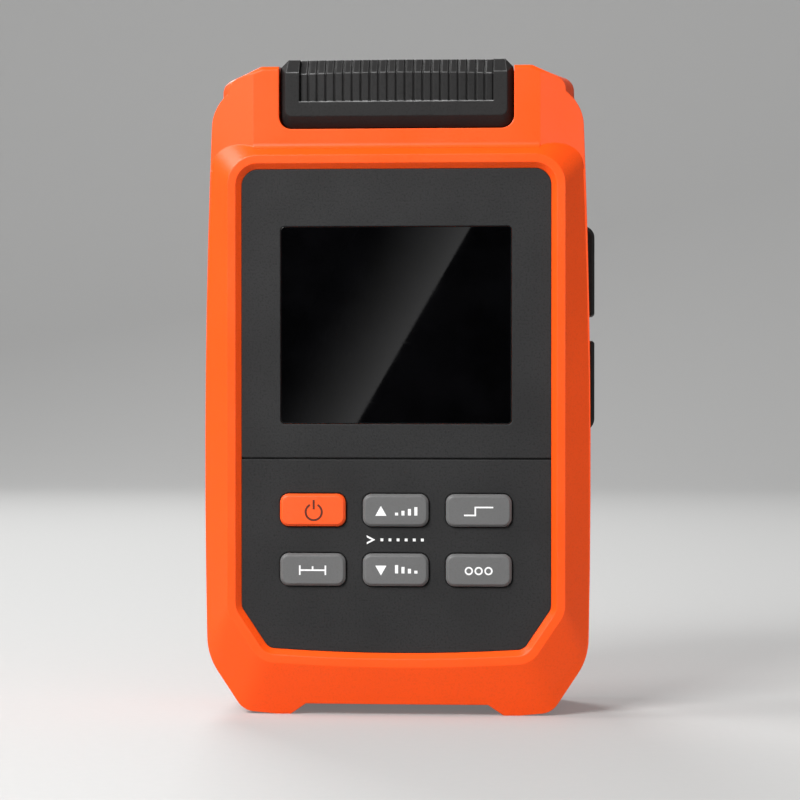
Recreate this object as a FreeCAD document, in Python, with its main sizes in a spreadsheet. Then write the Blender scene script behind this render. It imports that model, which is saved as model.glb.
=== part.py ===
"""Pocket optical power meter as a FreeCAD document, in millimetres.

The meter stands on its two feet: +Z is up, the face looks towards -Y, and the origin is the middle
of the footprint.  The sheet "Sizes" holds the driving dimensions, the sheet "Places" the stations
that follow from them, and every feature reads its lengths and planes from those two sheets.
"""
import FreeCAD, Part
import math
import os
from collections import namedtuple
from types import SimpleNamespace

import Sketcher

SIZES = (
    # Housing
    ("case_width", 69.4, "width across the bowed sides"),
    ("case_depth", 33.0, "front land to rear face"),
    ("case_height", 116.7, "feet to the orange top edge"),
    ("side_bow", 0.7, "how far the long sides bow outwards"),
    ("shoulder_inset", 1.25, "shoulder corners inside the widest line, each side"),
    ("shoulder_height", 109.0, "height of the shoulder corners"),
    ("shoulder_radius", 7.5, "rounding of the shoulder corners"),
    ("neck_plate_height", 114.3, "top of the neck's front face"),
    ("neck_plate_inset", 7.1, "ends of that top edge inside the widest line"),
    ("lower_side_height", 10.6, "height where the lower corners begin"),
    ("lower_side_inset", 0.25, "sides there inside the widest line"),
    ("foot_inset", 7.0, "feet inside the widest line"),
    ("foot_rise", 0.35, "how far the foot line rises at its outer ends"),
    ("foot_bow", 1.3, "bow of the foot line"),
    ("foot_radius", 4.0, "rounding of the feet's outer corners"),
    ("lower_side_radius", 11.5, "rounding of the lower corners of the sides"),
    ("crown_radius", 1.0, "rounding of the corners of the top edge"),
    ("foot_length", 8.5, "each foot, from its outer end to the gap between the feet"),
    ("notch_rise", 2.0, "height of that gap"),
    ("notch_slope", 2.8, "run of its slanted ends"),
    ("wall", 2.3, "side wall"),
    ("cavity_corner", 2.0, "rounding of the hollow's corners"),
    ("rear_wall", 2.0, "rear wall"),
    ("rear_bevel", 3.0, "bevel round the rear face"),
    ("front_depth", 6.5, "depth of the front shell"),
    # Bezel round the fascia
    ("bezel_rise", 4.1, "height of the bezel's outer facets"),
    ("bezel_land", 1.45, "width of the flat land"),
    ("bezel_lip", 1.0, "width of the slanted inner wall"),
    ("bezel_top", 104.3, "height where the top facet meets the shell"),
    ("bezel_radius", 6.0, "rounding of that facet's upper corners"),
    ("bezel_ledge", 0.15, "ledge between the outer facets and the shell's side"),
    ("neck_setback", 1.8, "step from the land back to the neck"),
    ("neck_flat_inset", 9.0, "ends of the neck's middle facet inside the widest line"),
    ("neck_fall", 2.4, "how far its side facets fall back"),
    ("cove_radius", 1.5, "cove between the bezel and the neck"),
    # Neck above the shoulders
    ("neck_inset", 3.0, "tall part of the neck inside the widest line"),
    ("neck_corner_height", 113.8, "height of its side corners"),
    ("neck_corner_radius", 2.5, "rounding of those corners"),
    ("neck_crown_inset", 7.3, "flat top inside the neck's sides"),
    ("neck_bevel", 0.85, "front bevel of the neck's top"),
    ("neck_side_bevel", 2.4, "front bevel of the neck's sides"),
    ("crown_rise", 0.25, "last rise of the top behind the bevel"),
    # Fascia, window and keys
    ("fascia_inset", 6.95, "fascia inside the widest line"),
    ("fascia_low", 12.1, "height of its lower corners"),
    ("fascia_high", 98.0, "height of its top edge"),
    ("fascia_chamfer_height", 19.5, "height where its lower chamfers begin"),
    ("fascia_chamfer", 4.95, "width of its lower chamfers"),
    ("fascia_bow", 0.7, "bow of its lower edge"),
    ("fascia_low_radius", 2.2, "rounding at its chamfers"),
    ("fascia_high_radius", 3.0, "rounding of its upper corners"),
    ("fascia_thickness", 1.2, "thickness of the fascia"),
    ("fascia_recess", 1.1, "fascia below the land"),
    ("fascia_floor", 1.5, "shell floor behind the fascia"),
    ("seam_height", 46.2, "height of the groove across the fascia"),
    ("seam_width", 0.36, "width of the groove"),
    ("seam_depth", 0.5, "depth of the groove"),
    ("window_width", 41.3, "display window"),
    ("window_height", 35.2, "display window"),
    ("window_centre", 70.05, "height of its middle"),
    ("window_ledge", 1.5, "ledge that the window sits on"),
    ("window_corner", 0.7, "corner radius of the window"),
    ("seat_gap", 0.1, "gap round pieces that are set into a seat"),
    ("key_width", 11.75, "key cap"),
    ("key_height", 5.8, "key cap"),
    ("key_corner", 1.55, "corner radius of a key"),
    ("key_bevel", 0.45, "bevel of the key's front edges"),
    ("key_rise", 1.0, "key above the fascia"),
    ("key_pitch", 14.85, "distance between columns"),
    ("key_top_row", 37.0, "height of the top row"),
    ("key_low_row", 26.35, "height of the lower row"),
    ("key_gap", 0.15, "gap round a key"),
    ("key_travel", 0.6, "stroke of a key"),
    ("key_flange", 0.8, "how far a key's flange reaches behind the shell"),
    ("key_flange_thickness", 0.8, "thickness of that flange"),
    # Flip cover and its hinge
    ("cover_width", 41.7, "flip cover"),
    ("cover_low", 105.5, "height of its lower edge"),
    ("cover_high", 117.7, "height of its top"),
    ("cover_proud", 0.3, "cover in front of the neck"),
    ("cover_bevel", 1.8, "depth of the bevel round its front"),
    ("cover_side_bevel", 1.0, "width of that bevel at the sides"),
    ("cover_low_bevel", 2.0, "width of that bevel at the lower edge"),
    ("cover_top_bevel", 2.4, "width of that bevel at the top edge"),
    ("cover_corner", 2.1, "radius of its lower corners"),
    ("cover_end_chamfer", 1.4, "chamfer of its top corners"),
    ("cover_face_chamfer", 0.1, "chamfer of the front face's top corners"),
    ("cover_skin", 1.7, "thickness of its top and ends"),
    ("cover_skirt", 1.1, "skirt behind the bevel"),
    ("cover_gap", 0.25, "gap between the cover and the neck"),
    ("grip_width", 34.8, "ribbed grip"),
    ("grip_low", 110.1, "height of its lower edge"),
    ("grip_edge_depth", 0.75, "depth of the grip at its ends"),
    ("grip_middle_depth", 0.12, "depth of the grip in the middle"),
    ("rib_count", 22, "ribs across the grip"),
    ("rib_depth", 0.32, "depth of the grooves between them"),
    ("rib_start", 0.15, "share of the pitch where a rib reaches its crest"),
    ("rib_end", 0.85, "share of the pitch where it starts to fall again"),
    ("hinge_radius", 3.0, "knuckle of the cover"),
    ("hinge_inset", 3.6, "hinge axis in front of the rear face"),
    ("hinge_wall_drop", 1.2, "wall behind the knuckle, below the hinge axis"),
    ("hinge_pin_radius", 0.8, "hinge pin"),
    ("hinge_pin_seat", 3.0, "pin inside each ear"),
    ("running_gap", 0.05, "radial clearance of a pin in a moving piece"),
    ("deck_thickness", 2.0, "deck that carries the optical ports"),
    ("deck_drop", 0.3, "deck below the cover's lower edge"),
    # Optical ports
    ("port_pitch", 19.0, "distance between the two ports"),
    ("port_offset", -1.7, "ports in front of the middle plane"),
    ("port_barrel_radius", 4.0, "threaded barrel"),
    ("port_barrel_wall", 0.7, "its wall"),
    ("port_barrel_height", 7.6, "barrel above the flange"),
    ("port_flange_radius", 5.8, "flange"),
    ("port_flange_thickness", 1.4, "flange"),
    ("port_bush_radius", 4.3, "bush below the flange"),
    ("port_bush_length", 7.2, "bush below the flange"),
    ("ferrule_radius", 1.26, "bore for a 2.5 mm ferrule"),
    ("sleeve_radius", 2.0, "sleeve round the ferrule"),
    ("sleeve_drop", 1.0, "sleeve below the barrel's rim"),
    ("port_key_width", 2.2, "key slot in the barrel"),
    ("port_key_depth", 3.0, "key slot in the barrel"),
    ("detector_radius", 2.3, "detector can"),
    ("detector_height", 2.6, "detector can"),
    ("lead_width", 0.45, "detector leads"),
    ("lead_length", 3.0, "detector leads"),
    ("port_nut_width", 10.5, "nut across flats"),
    ("port_nut_thickness", 1.8, "nut below the deck"),
    # Side ports and their flaps
    ("flap_length", 16.2, "port cover along the side"),
    ("flap_width", 13.0, "port cover front to back"),
    ("flap_setback", 1.5, "port cover behind the parting plane"),
    ("flap_proud", 0.7, "port cover beyond the side"),
    ("flap_radius", 2.1, "rounded hinge end"),
    ("flap_thickness", 2.7, "port cover away from its hinge"),
    ("flap_gap", 0.2, "gap round a flap"),
    ("flap_chamfer", 0.4, "chamfer of its blunt end"),
    ("flap_spacing", 4.5, "case wall between the two flaps"),
    ("flap_middle", 69.55, "height of the middle of that wall"),
    ("flap_pin_radius", 0.4, "flap pin"),
    ("flap_pin_seat", 0.9, "pin in each side of the recess"),
    ("port_wall", 2.6, "wall behind the flaps"),
    ("usb_width", 8.94, "socket mouth"),
    ("usb_height", 3.2, "socket mouth"),
    ("usb_depth", 7.4, "socket length"),
    ("usb_shell", 0.3, "socket sheet metal"),
    ("jack_width", 9.0, "charging jack body"),
    ("jack_height", 5.7, "charging jack body"),
    ("jack_depth", 9.0, "charging jack body"),
    ("jack_bore_radius", 2.5, "bore of the charging jack"),
    ("jack_bore_depth", 7.4, "bore of the charging jack"),
    ("jack_pin_radius", 0.95, "centre pin of the charging jack"),
    # Board and what it carries
    ("board_gap", 0.4, "main board clear of the wall behind the flaps"),
    ("board_low", 14.6, "its lower edge"),
    ("board_high", 95.4, "its upper edge"),
    ("board_thickness", 1.6, "main board"),
    ("board_drop", 4.1, "board behind the shell floor"),
    ("board_rib_width", 1.4, "rib that clamps the board"),
    ("board_rib_length", 5.0, "rib that clamps the board"),
    ("rib_inset", 1.5, "those ribs inside the board's edges"),
    ("display_margin", 1.4, "display module beyond the window's opening"),
    ("display_thickness", 2.0, "display glass"),
    ("mat_thickness", 1.0, "keypad mat"),
    ("mat_margin", 2.6, "mat beyond the outer keys"),
    ("mat_pad_width", 5.0, "raised pad behind each key"),
    ("mat_pad_height", 3.0, "raised pad behind each key"),
    ("shield_width", 18.0, "amplifier shield"),
    ("shield_height", 12.0, "amplifier shield"),
    ("shield_depth", 3.0, "amplifier shield"),
    ("shield_skin", 0.5, "amplifier shield"),
    ("shield_centre", 86.0, "height of its middle"),
    ("buzzer_radius", 5.0, "buzzer"),
    ("buzzer_depth", 3.4, "buzzer"),
    ("part_offset", 11.0, "shield and buzzer beside the middle"),
    # Cells, contacts and door
    ("cell_radius", 7.1, "AA cell"),
    ("cell_length", 49.2, "AA cell without its nub"),
    ("cell_nub_radius", 2.75, "positive nub"),
    ("cell_nub_height", 1.0, "positive nub"),
    ("cell_gap", 0.25, "gap round a cell"),
    ("tray_low", 17.0, "floor of the battery tray"),
    ("tray_wall", 1.2, "wall of the battery tray"),
    ("contact_thickness", 0.4, "contact plate"),
    ("contact_width", 9.0, "contact plate"),
    ("spring_height", 2.8, "contact spring"),
    ("spring_radius", 3.2, "contact spring"),
    ("door_thickness", 1.8, "battery door"),
    ("door_ledge", 1.6, "ledge that the door sits on"),
    ("door_gap", 0.2, "gap round the door"),
    ("door_corner", 1.5, "rounding of the door's corners"),
    ("grip_groove_count", 5, "thumb grooves of the door"),
    ("grip_groove_width", 0.9, "thumb grooves of the door"),
    ("grip_groove_length", 16.0, "thumb grooves of the door"),
    ("grip_groove_depth", 0.6, "thumb grooves of the door"),
    ("grip_groove_pitch", 2.0, "thumb grooves of the door"),
    # Fasteners
    ("screw_low_inset", 1.3, "lower case screws inside the feet's outer ends"),
    ("screw_low_height", 10.6, "lower case screws"),
    ("screw_high_inset", 5.05, "upper case screws inside the shoulders"),
    ("screw_high_height", 99.0, "upper case screws"),
    ("pillar_width", 5.8, "square pillar round each case screw"),
    ("screw_shank_radius", 1.0, "case screw"),
    ("screw_head_radius", 2.1, "case screw"),
    ("screw_head_height", 1.6, "case screw"),
    ("screw_length", 12.5, "case screw under its head"),
    ("screw_bite", 3.6, "case screw in the front shell"),
)

Corner = namedtuple("Corner", "u v radius bow", defaults=(0.0, 0.0))

S = SimpleNamespace(**{name: value for name, value, _ in SIZES})
P = SimpleNamespace()


def set_places():
    """Work out the stations that several pieces share, from the driving sizes."""
    P.origin = 0.0
    # Planes across the depth, front to back
    P.land_y = -S.case_depth / 2
    P.fascia_y = P.land_y + S.fascia_recess
    P.fascia_back_y = P.fascia_y + S.fascia_thickness
    P.floor_back_y = P.fascia_back_y + S.fascia_floor
    P.facet_y = P.land_y + S.bezel_rise
    P.neck_y = P.land_y + S.neck_setback
    P.neck_crown_y = P.neck_y + S.neck_bevel - S.crown_rise
    P.parting_y = P.land_y + S.front_depth
    P.rear_y = S.case_depth / 2
    P.rear_edge_y = P.rear_y - S.rear_bevel
    P.rear_inner_y = P.rear_y - S.rear_wall
    P.board_y = P.floor_back_y + S.board_drop
    P.board_back_y = P.board_y + S.board_thickness
    P.door_y = P.rear_y - S.door_thickness
    P.cell_y = P.door_y - S.cell_gap - S.cell_radius
    P.tray_y = P.cell_y - S.cell_radius - S.cell_gap
    P.tray_front_y = P.tray_y - S.tray_wall
    # Heights
    P.deck_z = S.cover_low - S.deck_drop
    P.deck_low_z = P.deck_z - S.deck_thickness
    P.above_z = S.cover_high + S.wall
    P.cavity_low_z = S.notch_rise + S.wall
    P.cell_low_z = S.tray_low + S.contact_thickness + S.spring_height
    P.tray_high_z = (P.cell_low_z + S.cell_length + S.cell_nub_height + S.contact_thickness)
    P.cell_high_z = P.tray_high_z - S.contact_thickness - S.spring_height
    P.tray_middle_z = (S.tray_low + P.tray_high_z) / 2
    # Widths
    P.lower_side_width = S.case_width - 2 * S.lower_side_inset
    P.shoulder_width = S.case_width - 2 * S.shoulder_inset
    P.foot_width = S.case_width - 2 * S.foot_inset
    P.notch_width = P.foot_width - 2 * S.foot_length
    P.neck_plate_width = S.case_width - 2 * S.neck_plate_inset
    P.neck_flat = S.case_width - 2 * S.neck_flat_inset
    P.neck_width = S.case_width - 2 * S.neck_inset
    P.neck_crown = P.neck_width - 2 * S.neck_crown_inset
    P.fascia_width = S.case_width - 2 * S.fascia_inset
    P.fascia_chamfer_width = P.fascia_width - 2 * S.fascia_chamfer
    P.slot_half = S.cover_width / 2 + S.cover_gap
    P.cavity_half = P.lower_side_width / 2 - S.wall
    P.cell_pitch = 2 * (S.cell_radius + S.cell_gap)
    P.tray_half = 1.5 * P.cell_pitch
    # Flip cover
    P.cover_y = P.neck_y - S.cover_proud
    P.cover_edge_y = P.cover_y + S.cover_bevel
    P.skirt_back_y = P.cover_edge_y + S.cover_skirt
    P.hinge_y = P.rear_y - S.hinge_inset
    P.hinge_z = S.cover_high - S.hinge_radius
    P.hinge_pin_half = P.slot_half + S.hinge_pin_seat
    P.grip_top_z = S.cover_high - S.cover_top_bevel + S.cover_bevel / 2
    P.hinge_wall_z = P.hinge_z - S.hinge_wall_drop
    # Side wall with the flaps
    P.side_x = S.case_width / 2
    P.flap_x = P.side_x + S.flap_proud
    P.flap_axis_x = P.flap_x - S.flap_radius
    P.flap_floor_x = P.flap_x - S.flap_thickness - S.flap_gap
    P.port_wall_x = P.flap_floor_x - S.port_wall
    P.board_half = P.port_wall_x - S.board_gap
    P.rib_x = P.board_half - S.rib_inset
    P.screw_low_x = P.foot_width / 2 - S.screw_low_inset
    P.screw_high_x = P.shoulder_width / 2 - S.screw_high_inset
    P.flap_front_y = P.parting_y + S.flap_setback
    P.flap_back_y = P.flap_front_y + S.flap_width
    P.flap_centre_y = P.flap_front_y + S.flap_width / 2
    P.recess_front_y = P.flap_front_y - S.flap_gap
    P.recess_back_y = P.flap_back_y + S.flap_gap
    P.flap_pin_front_y = P.recess_front_y - S.flap_pin_seat
    P.flap_pin_back_y = P.recess_back_y + S.flap_pin_seat
    P.upper_blunt_z = S.flap_middle + S.flap_spacing / 2
    P.lower_blunt_z = S.flap_middle - S.flap_spacing / 2
    P.upper_axis_z = P.upper_blunt_z + S.flap_length - S.flap_radius
    P.lower_axis_z = P.lower_blunt_z - S.flap_length + S.flap_radius
    P.usb_z = (P.upper_blunt_z + P.upper_axis_z) / 2
    P.jack_z = (P.lower_blunt_z + P.lower_axis_z) / 2
    P.usb_y = P.board_back_y + S.usb_height / 2
    P.jack_y = P.board_back_y + S.jack_height / 2
    P.socket_x = P.flap_floor_x - S.flap_gap
    # Optical ports
    P.port_x = S.port_pitch / 2
    P.flange_z = P.deck_z + S.port_flange_thickness
    P.barrel_z = P.flange_z + S.port_barrel_height
    P.sleeve_z = P.barrel_z - S.sleeve_drop
    P.bush_z = P.deck_z - S.port_bush_length
    P.lead_low_z = P.bush_z - S.detector_height - S.lead_length
    # Keys
    P.key_y = P.fascia_y - S.key_rise
    P.flange_y = P.floor_back_y + S.seat_gap
    P.key_back_y = P.flange_y + S.key_flange_thickness
    P.dome_y = P.key_back_y + S.key_travel + S.seat_gap
    P.mat_y = P.board_y - S.mat_thickness
    # Display module
    P.display_y = P.floor_back_y + S.seat_gap
    P.display_back_y = P.display_y + S.display_thickness
    # Fasteners
    P.head_y = P.parting_y + S.screw_length - S.screw_bite


set_places()
doc = FreeCAD.newDocument("OpticalPowerMeter")


def fill_sheet(name, rows):
    """Make a spreadsheet with one aliased number per row."""
    sheet = doc.addObject("Spreadsheet::Sheet", name)
    for row, (alias, value, note) in enumerate(rows, start=1):
        sheet.set(f"A{row}", note)
        sheet.set(f"B{row}", repr(value))
        sheet.setAlias(f"B{row}", alias)
    return sheet


fill_sheet("Sizes", SIZES)
fill_sheet("Places", [(name, value, "station") for name, value in vars(P).items()])
doc.recompute()

# ---------------------------------------------------------------- outlines


def arc_between(start, middle, end):
    """An arc through three points of a sketch plane."""
    return Part.Arc(*(FreeCAD.Vector(u, v, 0) for u, v in (start, middle, end)))


def rounded_outline(corners):
    """Lines and arcs of a closed outline whose corners are rounded and whose edges may bow out."""
    rounds = []
    count = len(corners)
    for index, corner in enumerate(corners):
        before = corners[index - 1]
        after = corners[(index + 1) % count]
        here = FreeCAD.Vector(corner.u, corner.v, 0)
        arriving = (here - FreeCAD.Vector(before.u, before.v, 0)).normalize()
        leaving = (FreeCAD.Vector(after.u, after.v, 0) - here).normalize()
        half_turn = arriving.getAngle(leaving) / 2
        if corner.radius <= 0:
            rounds.append((here, None, here))
            continue
        setback = corner.radius * math.tan(half_turn)
        inward = (leaving - arriving).normalize()
        centre = here + inward * (corner.radius / math.cos(half_turn))
        rounds.append((here - arriving * setback, centre - inward * corner.radius,
                       here + leaving * setback))
    edges = []
    for index, (start, middle, end) in enumerate(rounds):
        if middle is not None:
            edges.append(Part.Arc(start, middle, end))
        following = rounds[(index + 1) % count][0]
        bow = corners[index].bow
        if bow:
            along = (following - end).normalize()
            outward = FreeCAD.Vector(along.y, -along.x, 0)
            edges.append(Part.Arc(end, (end + following) / 2 + outward * bow, following))
        else:
            edges.append(Part.LineSegment(end, following))
    return edges


def mirrored(right_side, low_bow=0.0):
    """Close the right half of a symmetric outline, listed upwards, with its mirror image."""
    left_side = []
    for index in range(len(right_side) - 1, -1, -1):
        corner = right_side[index]
        bow = right_side[index - 1].bow if index else low_bow
        left_side.append(Corner(-corner.u, corner.v, corner.radius, bow))
    return list(right_side) + left_side


def grown(corners, offset):
    """Move each edge of a convex outline outwards by offset, and its corners with them."""
    count = len(corners)
    lines = []
    for index, corner in enumerate(corners):
        after = corners[(index + 1) % count]
        run, rise = after.u - corner.u, after.v - corner.v
        length = math.hypot(run, rise)
        normal = (rise / length, -run / length)
        lines.append((normal, normal[0] * corner.u + normal[1] * corner.v + offset))
    result = []
    for index, corner in enumerate(corners):
        (a, b), c = lines[index - 1]
        (d, e), f = lines[index]
        scale = a * e - b * d
        radius = max(corner.radius + offset, 0.3) if corner.radius else 0.0
        result.append(Corner((c * e - b * f) / scale, (a * f - c * d) / scale, radius, corner.bow))
    return result


def rectangle(low_u, high_u, low_v, high_v, radius=0.0):
    """Corners of a rectangle."""
    return [Corner(low_u, low_v, radius), Corner(high_u, low_v, radius),
            Corner(high_u, high_v, radius), Corner(low_u, high_v, radius)]


def centred(u, v, width, height, radius=0.0):
    """Corners of a rectangle about its middle."""
    return rectangle(u - width / 2, u + width / 2, v - height / 2, v + height / 2, radius)


def body_outline():
    """Front view of the main housing, without the notch between its feet."""
    return mirrored([
        Corner(P.foot_width / 2, S.foot_rise, S.foot_radius),
        Corner(P.lower_side_width / 2, S.lower_side_height, S.lower_side_radius, S.side_bow),
        Corner(P.shoulder_width / 2, S.shoulder_height, S.shoulder_radius),
        Corner(P.neck_plate_width / 2, S.neck_plate_height, S.crown_radius),
    ], S.foot_bow)


def neck_outline(side=0.0, top=0.0):
    """Front view of the tall part of the neck, its sides and its top drawn in."""
    half = P.neck_width / 2 - side
    return mirrored([
        Corner(half, S.fascia_high),
        Corner(half, S.neck_corner_height, S.neck_corner_radius),
        Corner((P.neck_crown - top) / 2, S.case_height - top, S.crown_radius),
    ])


def bezel_base():
    """Outline where the bezel's outer facets meet the shell, just inside the shell's sides."""
    share = (S.bezel_top - S.lower_side_height) / (S.shoulder_height - S.lower_side_height)
    width = P.lower_side_width + share * (P.shoulder_width - P.lower_side_width)
    on_the_side = mirrored([
        Corner(P.foot_width / 2, S.foot_rise, S.foot_radius),
        Corner(P.lower_side_width / 2, S.lower_side_height, S.lower_side_radius,
               S.side_bow * share ** 2),
        Corner(width / 2, S.bezel_top, S.bezel_radius),
    ], S.foot_bow)
    return grown(on_the_side, -S.bezel_ledge)


def fascia_outline():
    """Front view of the fascia: bowed lower edge, chamfered lower corners."""
    half = P.fascia_width / 2
    return mirrored([
        Corner(P.fascia_chamfer_width / 2, S.fascia_low, S.fascia_low_radius),
        Corner(half, S.fascia_chamfer_height, S.fascia_low_radius),
        Corner(half, S.fascia_high, S.fascia_high_radius),
    ], S.fascia_bow)


def cavity_outline():
    """Front view of the hollow inside both shells."""
    return mirrored([
        Corner(P.foot_width / 2 - S.wall, P.cavity_low_z, S.cavity_corner),
        Corner(P.cavity_half, S.lower_side_height + S.wall, S.cavity_corner),
        Corner(P.shoulder_width / 2 - S.wall, P.deck_low_z, S.cavity_corner),
    ])


# ---------------------------------------------------------------- features

# Plane role and the sign that its normal has along its axis
PLANES = {"x": ("YZ_Plane", 1), "y": ("XZ_Plane", -1), "z": ("XY_Plane", 1)}
tallies = {}


def unique(kind):
    """A fresh internal name for a feature."""
    tallies[kind] = tallies.get(kind, 0) + 1
    return f"{kind}{tallies[kind]}"


def new_body(label):
    """Start a body whose label names its file."""
    body = doc.addObject("PartDesign::Body", label)
    body.Label = label
    return body


def join_ends(sketch):
    """Tie each edge's ends to those of its neighbours with coincident constraints."""
    ends = []
    for index, edge in enumerate(sketch.Geometry):
        if hasattr(edge, "StartPoint"):
            ends.append((edge.StartPoint, index, 1))
            ends.append((edge.EndPoint, index, 2))
    for first in range(len(ends)):
        for second in range(first + 1, len(ends)):
            if ends[first][1] != ends[second][1] and ends[first][0].isEqual(ends[second][0], 1e-7):
                sketch.addConstraint(Sketcher.Constraint("Coincident", ends[first][1],
                                                         ends[first][2], ends[second][1],
                                                         ends[second][2]))


def draw(body, axis, station, outlines=(), circles=()):
    """Sketch on one of the body's origin planes, moved to a station of the sheet "Places".

    outlines are lists of corners; circles are (u, v, size name) with the radius in the sheet.
    """
    role, sign = PLANES[axis]
    sketch = body.newObject("Sketcher::SketchObject", unique("Sketch"))
    plane = [item for item in body.Origin.OriginFeatures if item.Role == role][0]
    sketch.AttachmentSupport = [(plane, "")]
    sketch.MapMode = "FlatFace"
    sketch.setExpression("AttachmentOffset.Base.z", f"{sign} * ({station})")
    for outline in outlines:
        sketch.addGeometry(rounded_outline(outline), False)
    join_ends(sketch)
    for u, v, radius in circles:
        centre = FreeCAD.Vector(u, v, 0)
        circle = Part.Circle(centre, FreeCAD.Vector(0, 0, 1), value_of(radius))
        index = sketch.addGeometry(circle, False)
        constraint = sketch.addConstraint(Sketcher.Constraint("Radius", index, value_of(radius)))
        sketch.setExpression(f"Constraints[{constraint}]", radius)
    sketch.Visibility = False
    return sketch


def value_of(expression):
    """Value of a sum of sheet cells written as "Sizes.a + Places.b - Sizes.c"."""
    total = 0.0
    sign = 1
    for word in expression.replace("-", " - ").split():
        if word in "+-":
            sign = 1 if word == "+" else -1
            continue
        sheet, _, alias = word.partition(".")
        total += sign * getattr(S if sheet == "Sizes" else P, alias)
    return total


def extrude(body, kind, axis, start, end, outlines, circles):
    """Pad or pocket between two stations along an axis."""
    sketch = draw(body, axis, start, outlines, circles)
    feature = body.newObject(f"PartDesign::{kind}", unique(kind))
    feature.Profile = sketch
    feature.setExpression("Length", f"abs(({end}) - ({start}))")
    rises = value_of(end) > value_of(start)
    along_normal = rises == (PLANES[axis][1] > 0)
    feature.Reversed = along_normal if kind == "Pocket" else not along_normal
    return feature


def pad(body, axis, start, end, outlines=(), circles=()):
    """Add material between two stations."""
    return extrude(body, "Pad", axis, start, end, outlines, circles)


def cut(body, axis, start, end, outlines=(), circles=()):
    """Remove material between two stations."""
    return extrude(body, "Pocket", axis, start, end, outlines, circles)


def loft(body, kind, sections):
    """Ruled loft through outlines on planes across Y, given as (station, outline)."""
    sketches = [draw(body, "y", station, [outline]) for station, outline in sections]
    feature = body.newObject(f"PartDesign::{kind}", unique(kind))
    feature.Profile = sketches[0]
    feature.Sections = sketches[1:]
    feature.Ruled = True
    return feature


def revolve(body, station, ring, axis_start, axis_end):
    """Turn a ring on a plane across Y about the line through two of that plane's points."""
    sketch = draw(body, "y", station, [sorted_ring(ring)])
    start, end = (FreeCAD.Vector(u, v, 0) for u, v in (axis_start, axis_end))
    sketch.addGeometry(Part.LineSegment(start, end), True)
    feature = body.newObject("PartDesign::Revolution", unique("Revolution"))
    feature.Profile = sketch
    feature.ReferenceAxis = (sketch, ["Axis0"])
    feature.Angle = 360
    return feature


def chamfer(body, size, wanted):
    """Chamfer the edges of the body's tip that pass a test on the edge and its middle."""
    doc.recompute()
    base = body.Tip
    names = []
    for index, edge in enumerate(base.Shape.Edges, start=1):
        middle = edge.valueAt((edge.FirstParameter + edge.LastParameter) / 2)
        if wanted(edge, middle):
            names.append(f"Edge{index}")
    feature = body.newObject("PartDesign::Chamfer", unique("Chamfer"))
    feature.Base = (base, names)
    feature.setExpression("Size", size)
    return feature


# ---------------------------------------------------------------- housing


def key_places():
    """Centre of each key, by node name."""
    columns = (-S.key_pitch, 0.0, S.key_pitch)
    names = (("power_key", "up_key", "threshold_key"), ("reference_key", "down_key", "select_key"))
    rows = (S.key_top_row, S.key_low_row)
    return {name: (u, v) for v, row in zip(rows, names) for u, name in zip(columns, row)}


def key_openings(radius=0.0):
    """Outlines of the six key openings."""
    width = S.key_width + 2 * S.key_gap
    height = S.key_height + 2 * S.key_gap
    return [centred(u, v, width, height, radius) for u, v in key_places().values()]


def screw_places():
    """Axes of the four case screws in the front view."""
    return [(side * offset, height)
            for offset, height in ((P.screw_low_x, S.screw_low_height),
                                   (P.screw_high_x, S.screw_high_height))
            for side in (-1, 1)]


def screw_pillars():
    """Outlines of the pillars round the case screws."""
    return [centred(u, v, S.pillar_width, S.pillar_width) for u, v in screw_places()]


def board_ribs():
    """Outlines of the four ribs of each shell that clamp the main board between them."""
    return [centred(side * P.rib_x, height, S.board_rib_width, S.board_rib_length)
            for side in (-1, 1)
            for height in (S.board_low + S.board_rib_length, S.board_high - S.board_rib_length)]


def ear_outlines():
    """Hollows inside the two ears of the neck."""
    inner = P.slot_half + S.wall
    outer = P.neck_width / 2 - S.wall
    high = S.neck_corner_height - S.wall
    low = P.deck_low_z - S.wall
    return [rectangle(inner, outer, low, high), rectangle(-outer, -inner, low, high)]


def slot_outline():
    """Opening of the neck that the flip cover fills."""
    return [Corner(P.slot_half, P.deck_z, S.cover_corner + S.cover_gap),
            Corner(P.slot_half, P.above_z), Corner(-P.slot_half, P.above_z),
            Corner(-P.slot_half, P.deck_z, S.cover_corner + S.cover_gap)]


def trim_feet(body):
    """Flatten the feet at the floor and cut the notch between them."""
    half = P.notch_width / 2
    reach = S.case_width
    notch = [Corner(-half, -S.wall), Corner(half, -S.wall), Corner(half, 0.0),
             Corner(half - S.notch_slope, S.notch_rise), Corner(S.notch_slope - half, S.notch_rise),
             Corner(-half, 0.0)]
    cut(body, "y", "Places.land_y", "Places.rear_y", [notch])
    cut(body, "y", "Places.land_y", "Places.rear_y", [rectangle(-reach, reach, -S.wall, 0.0)])


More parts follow.
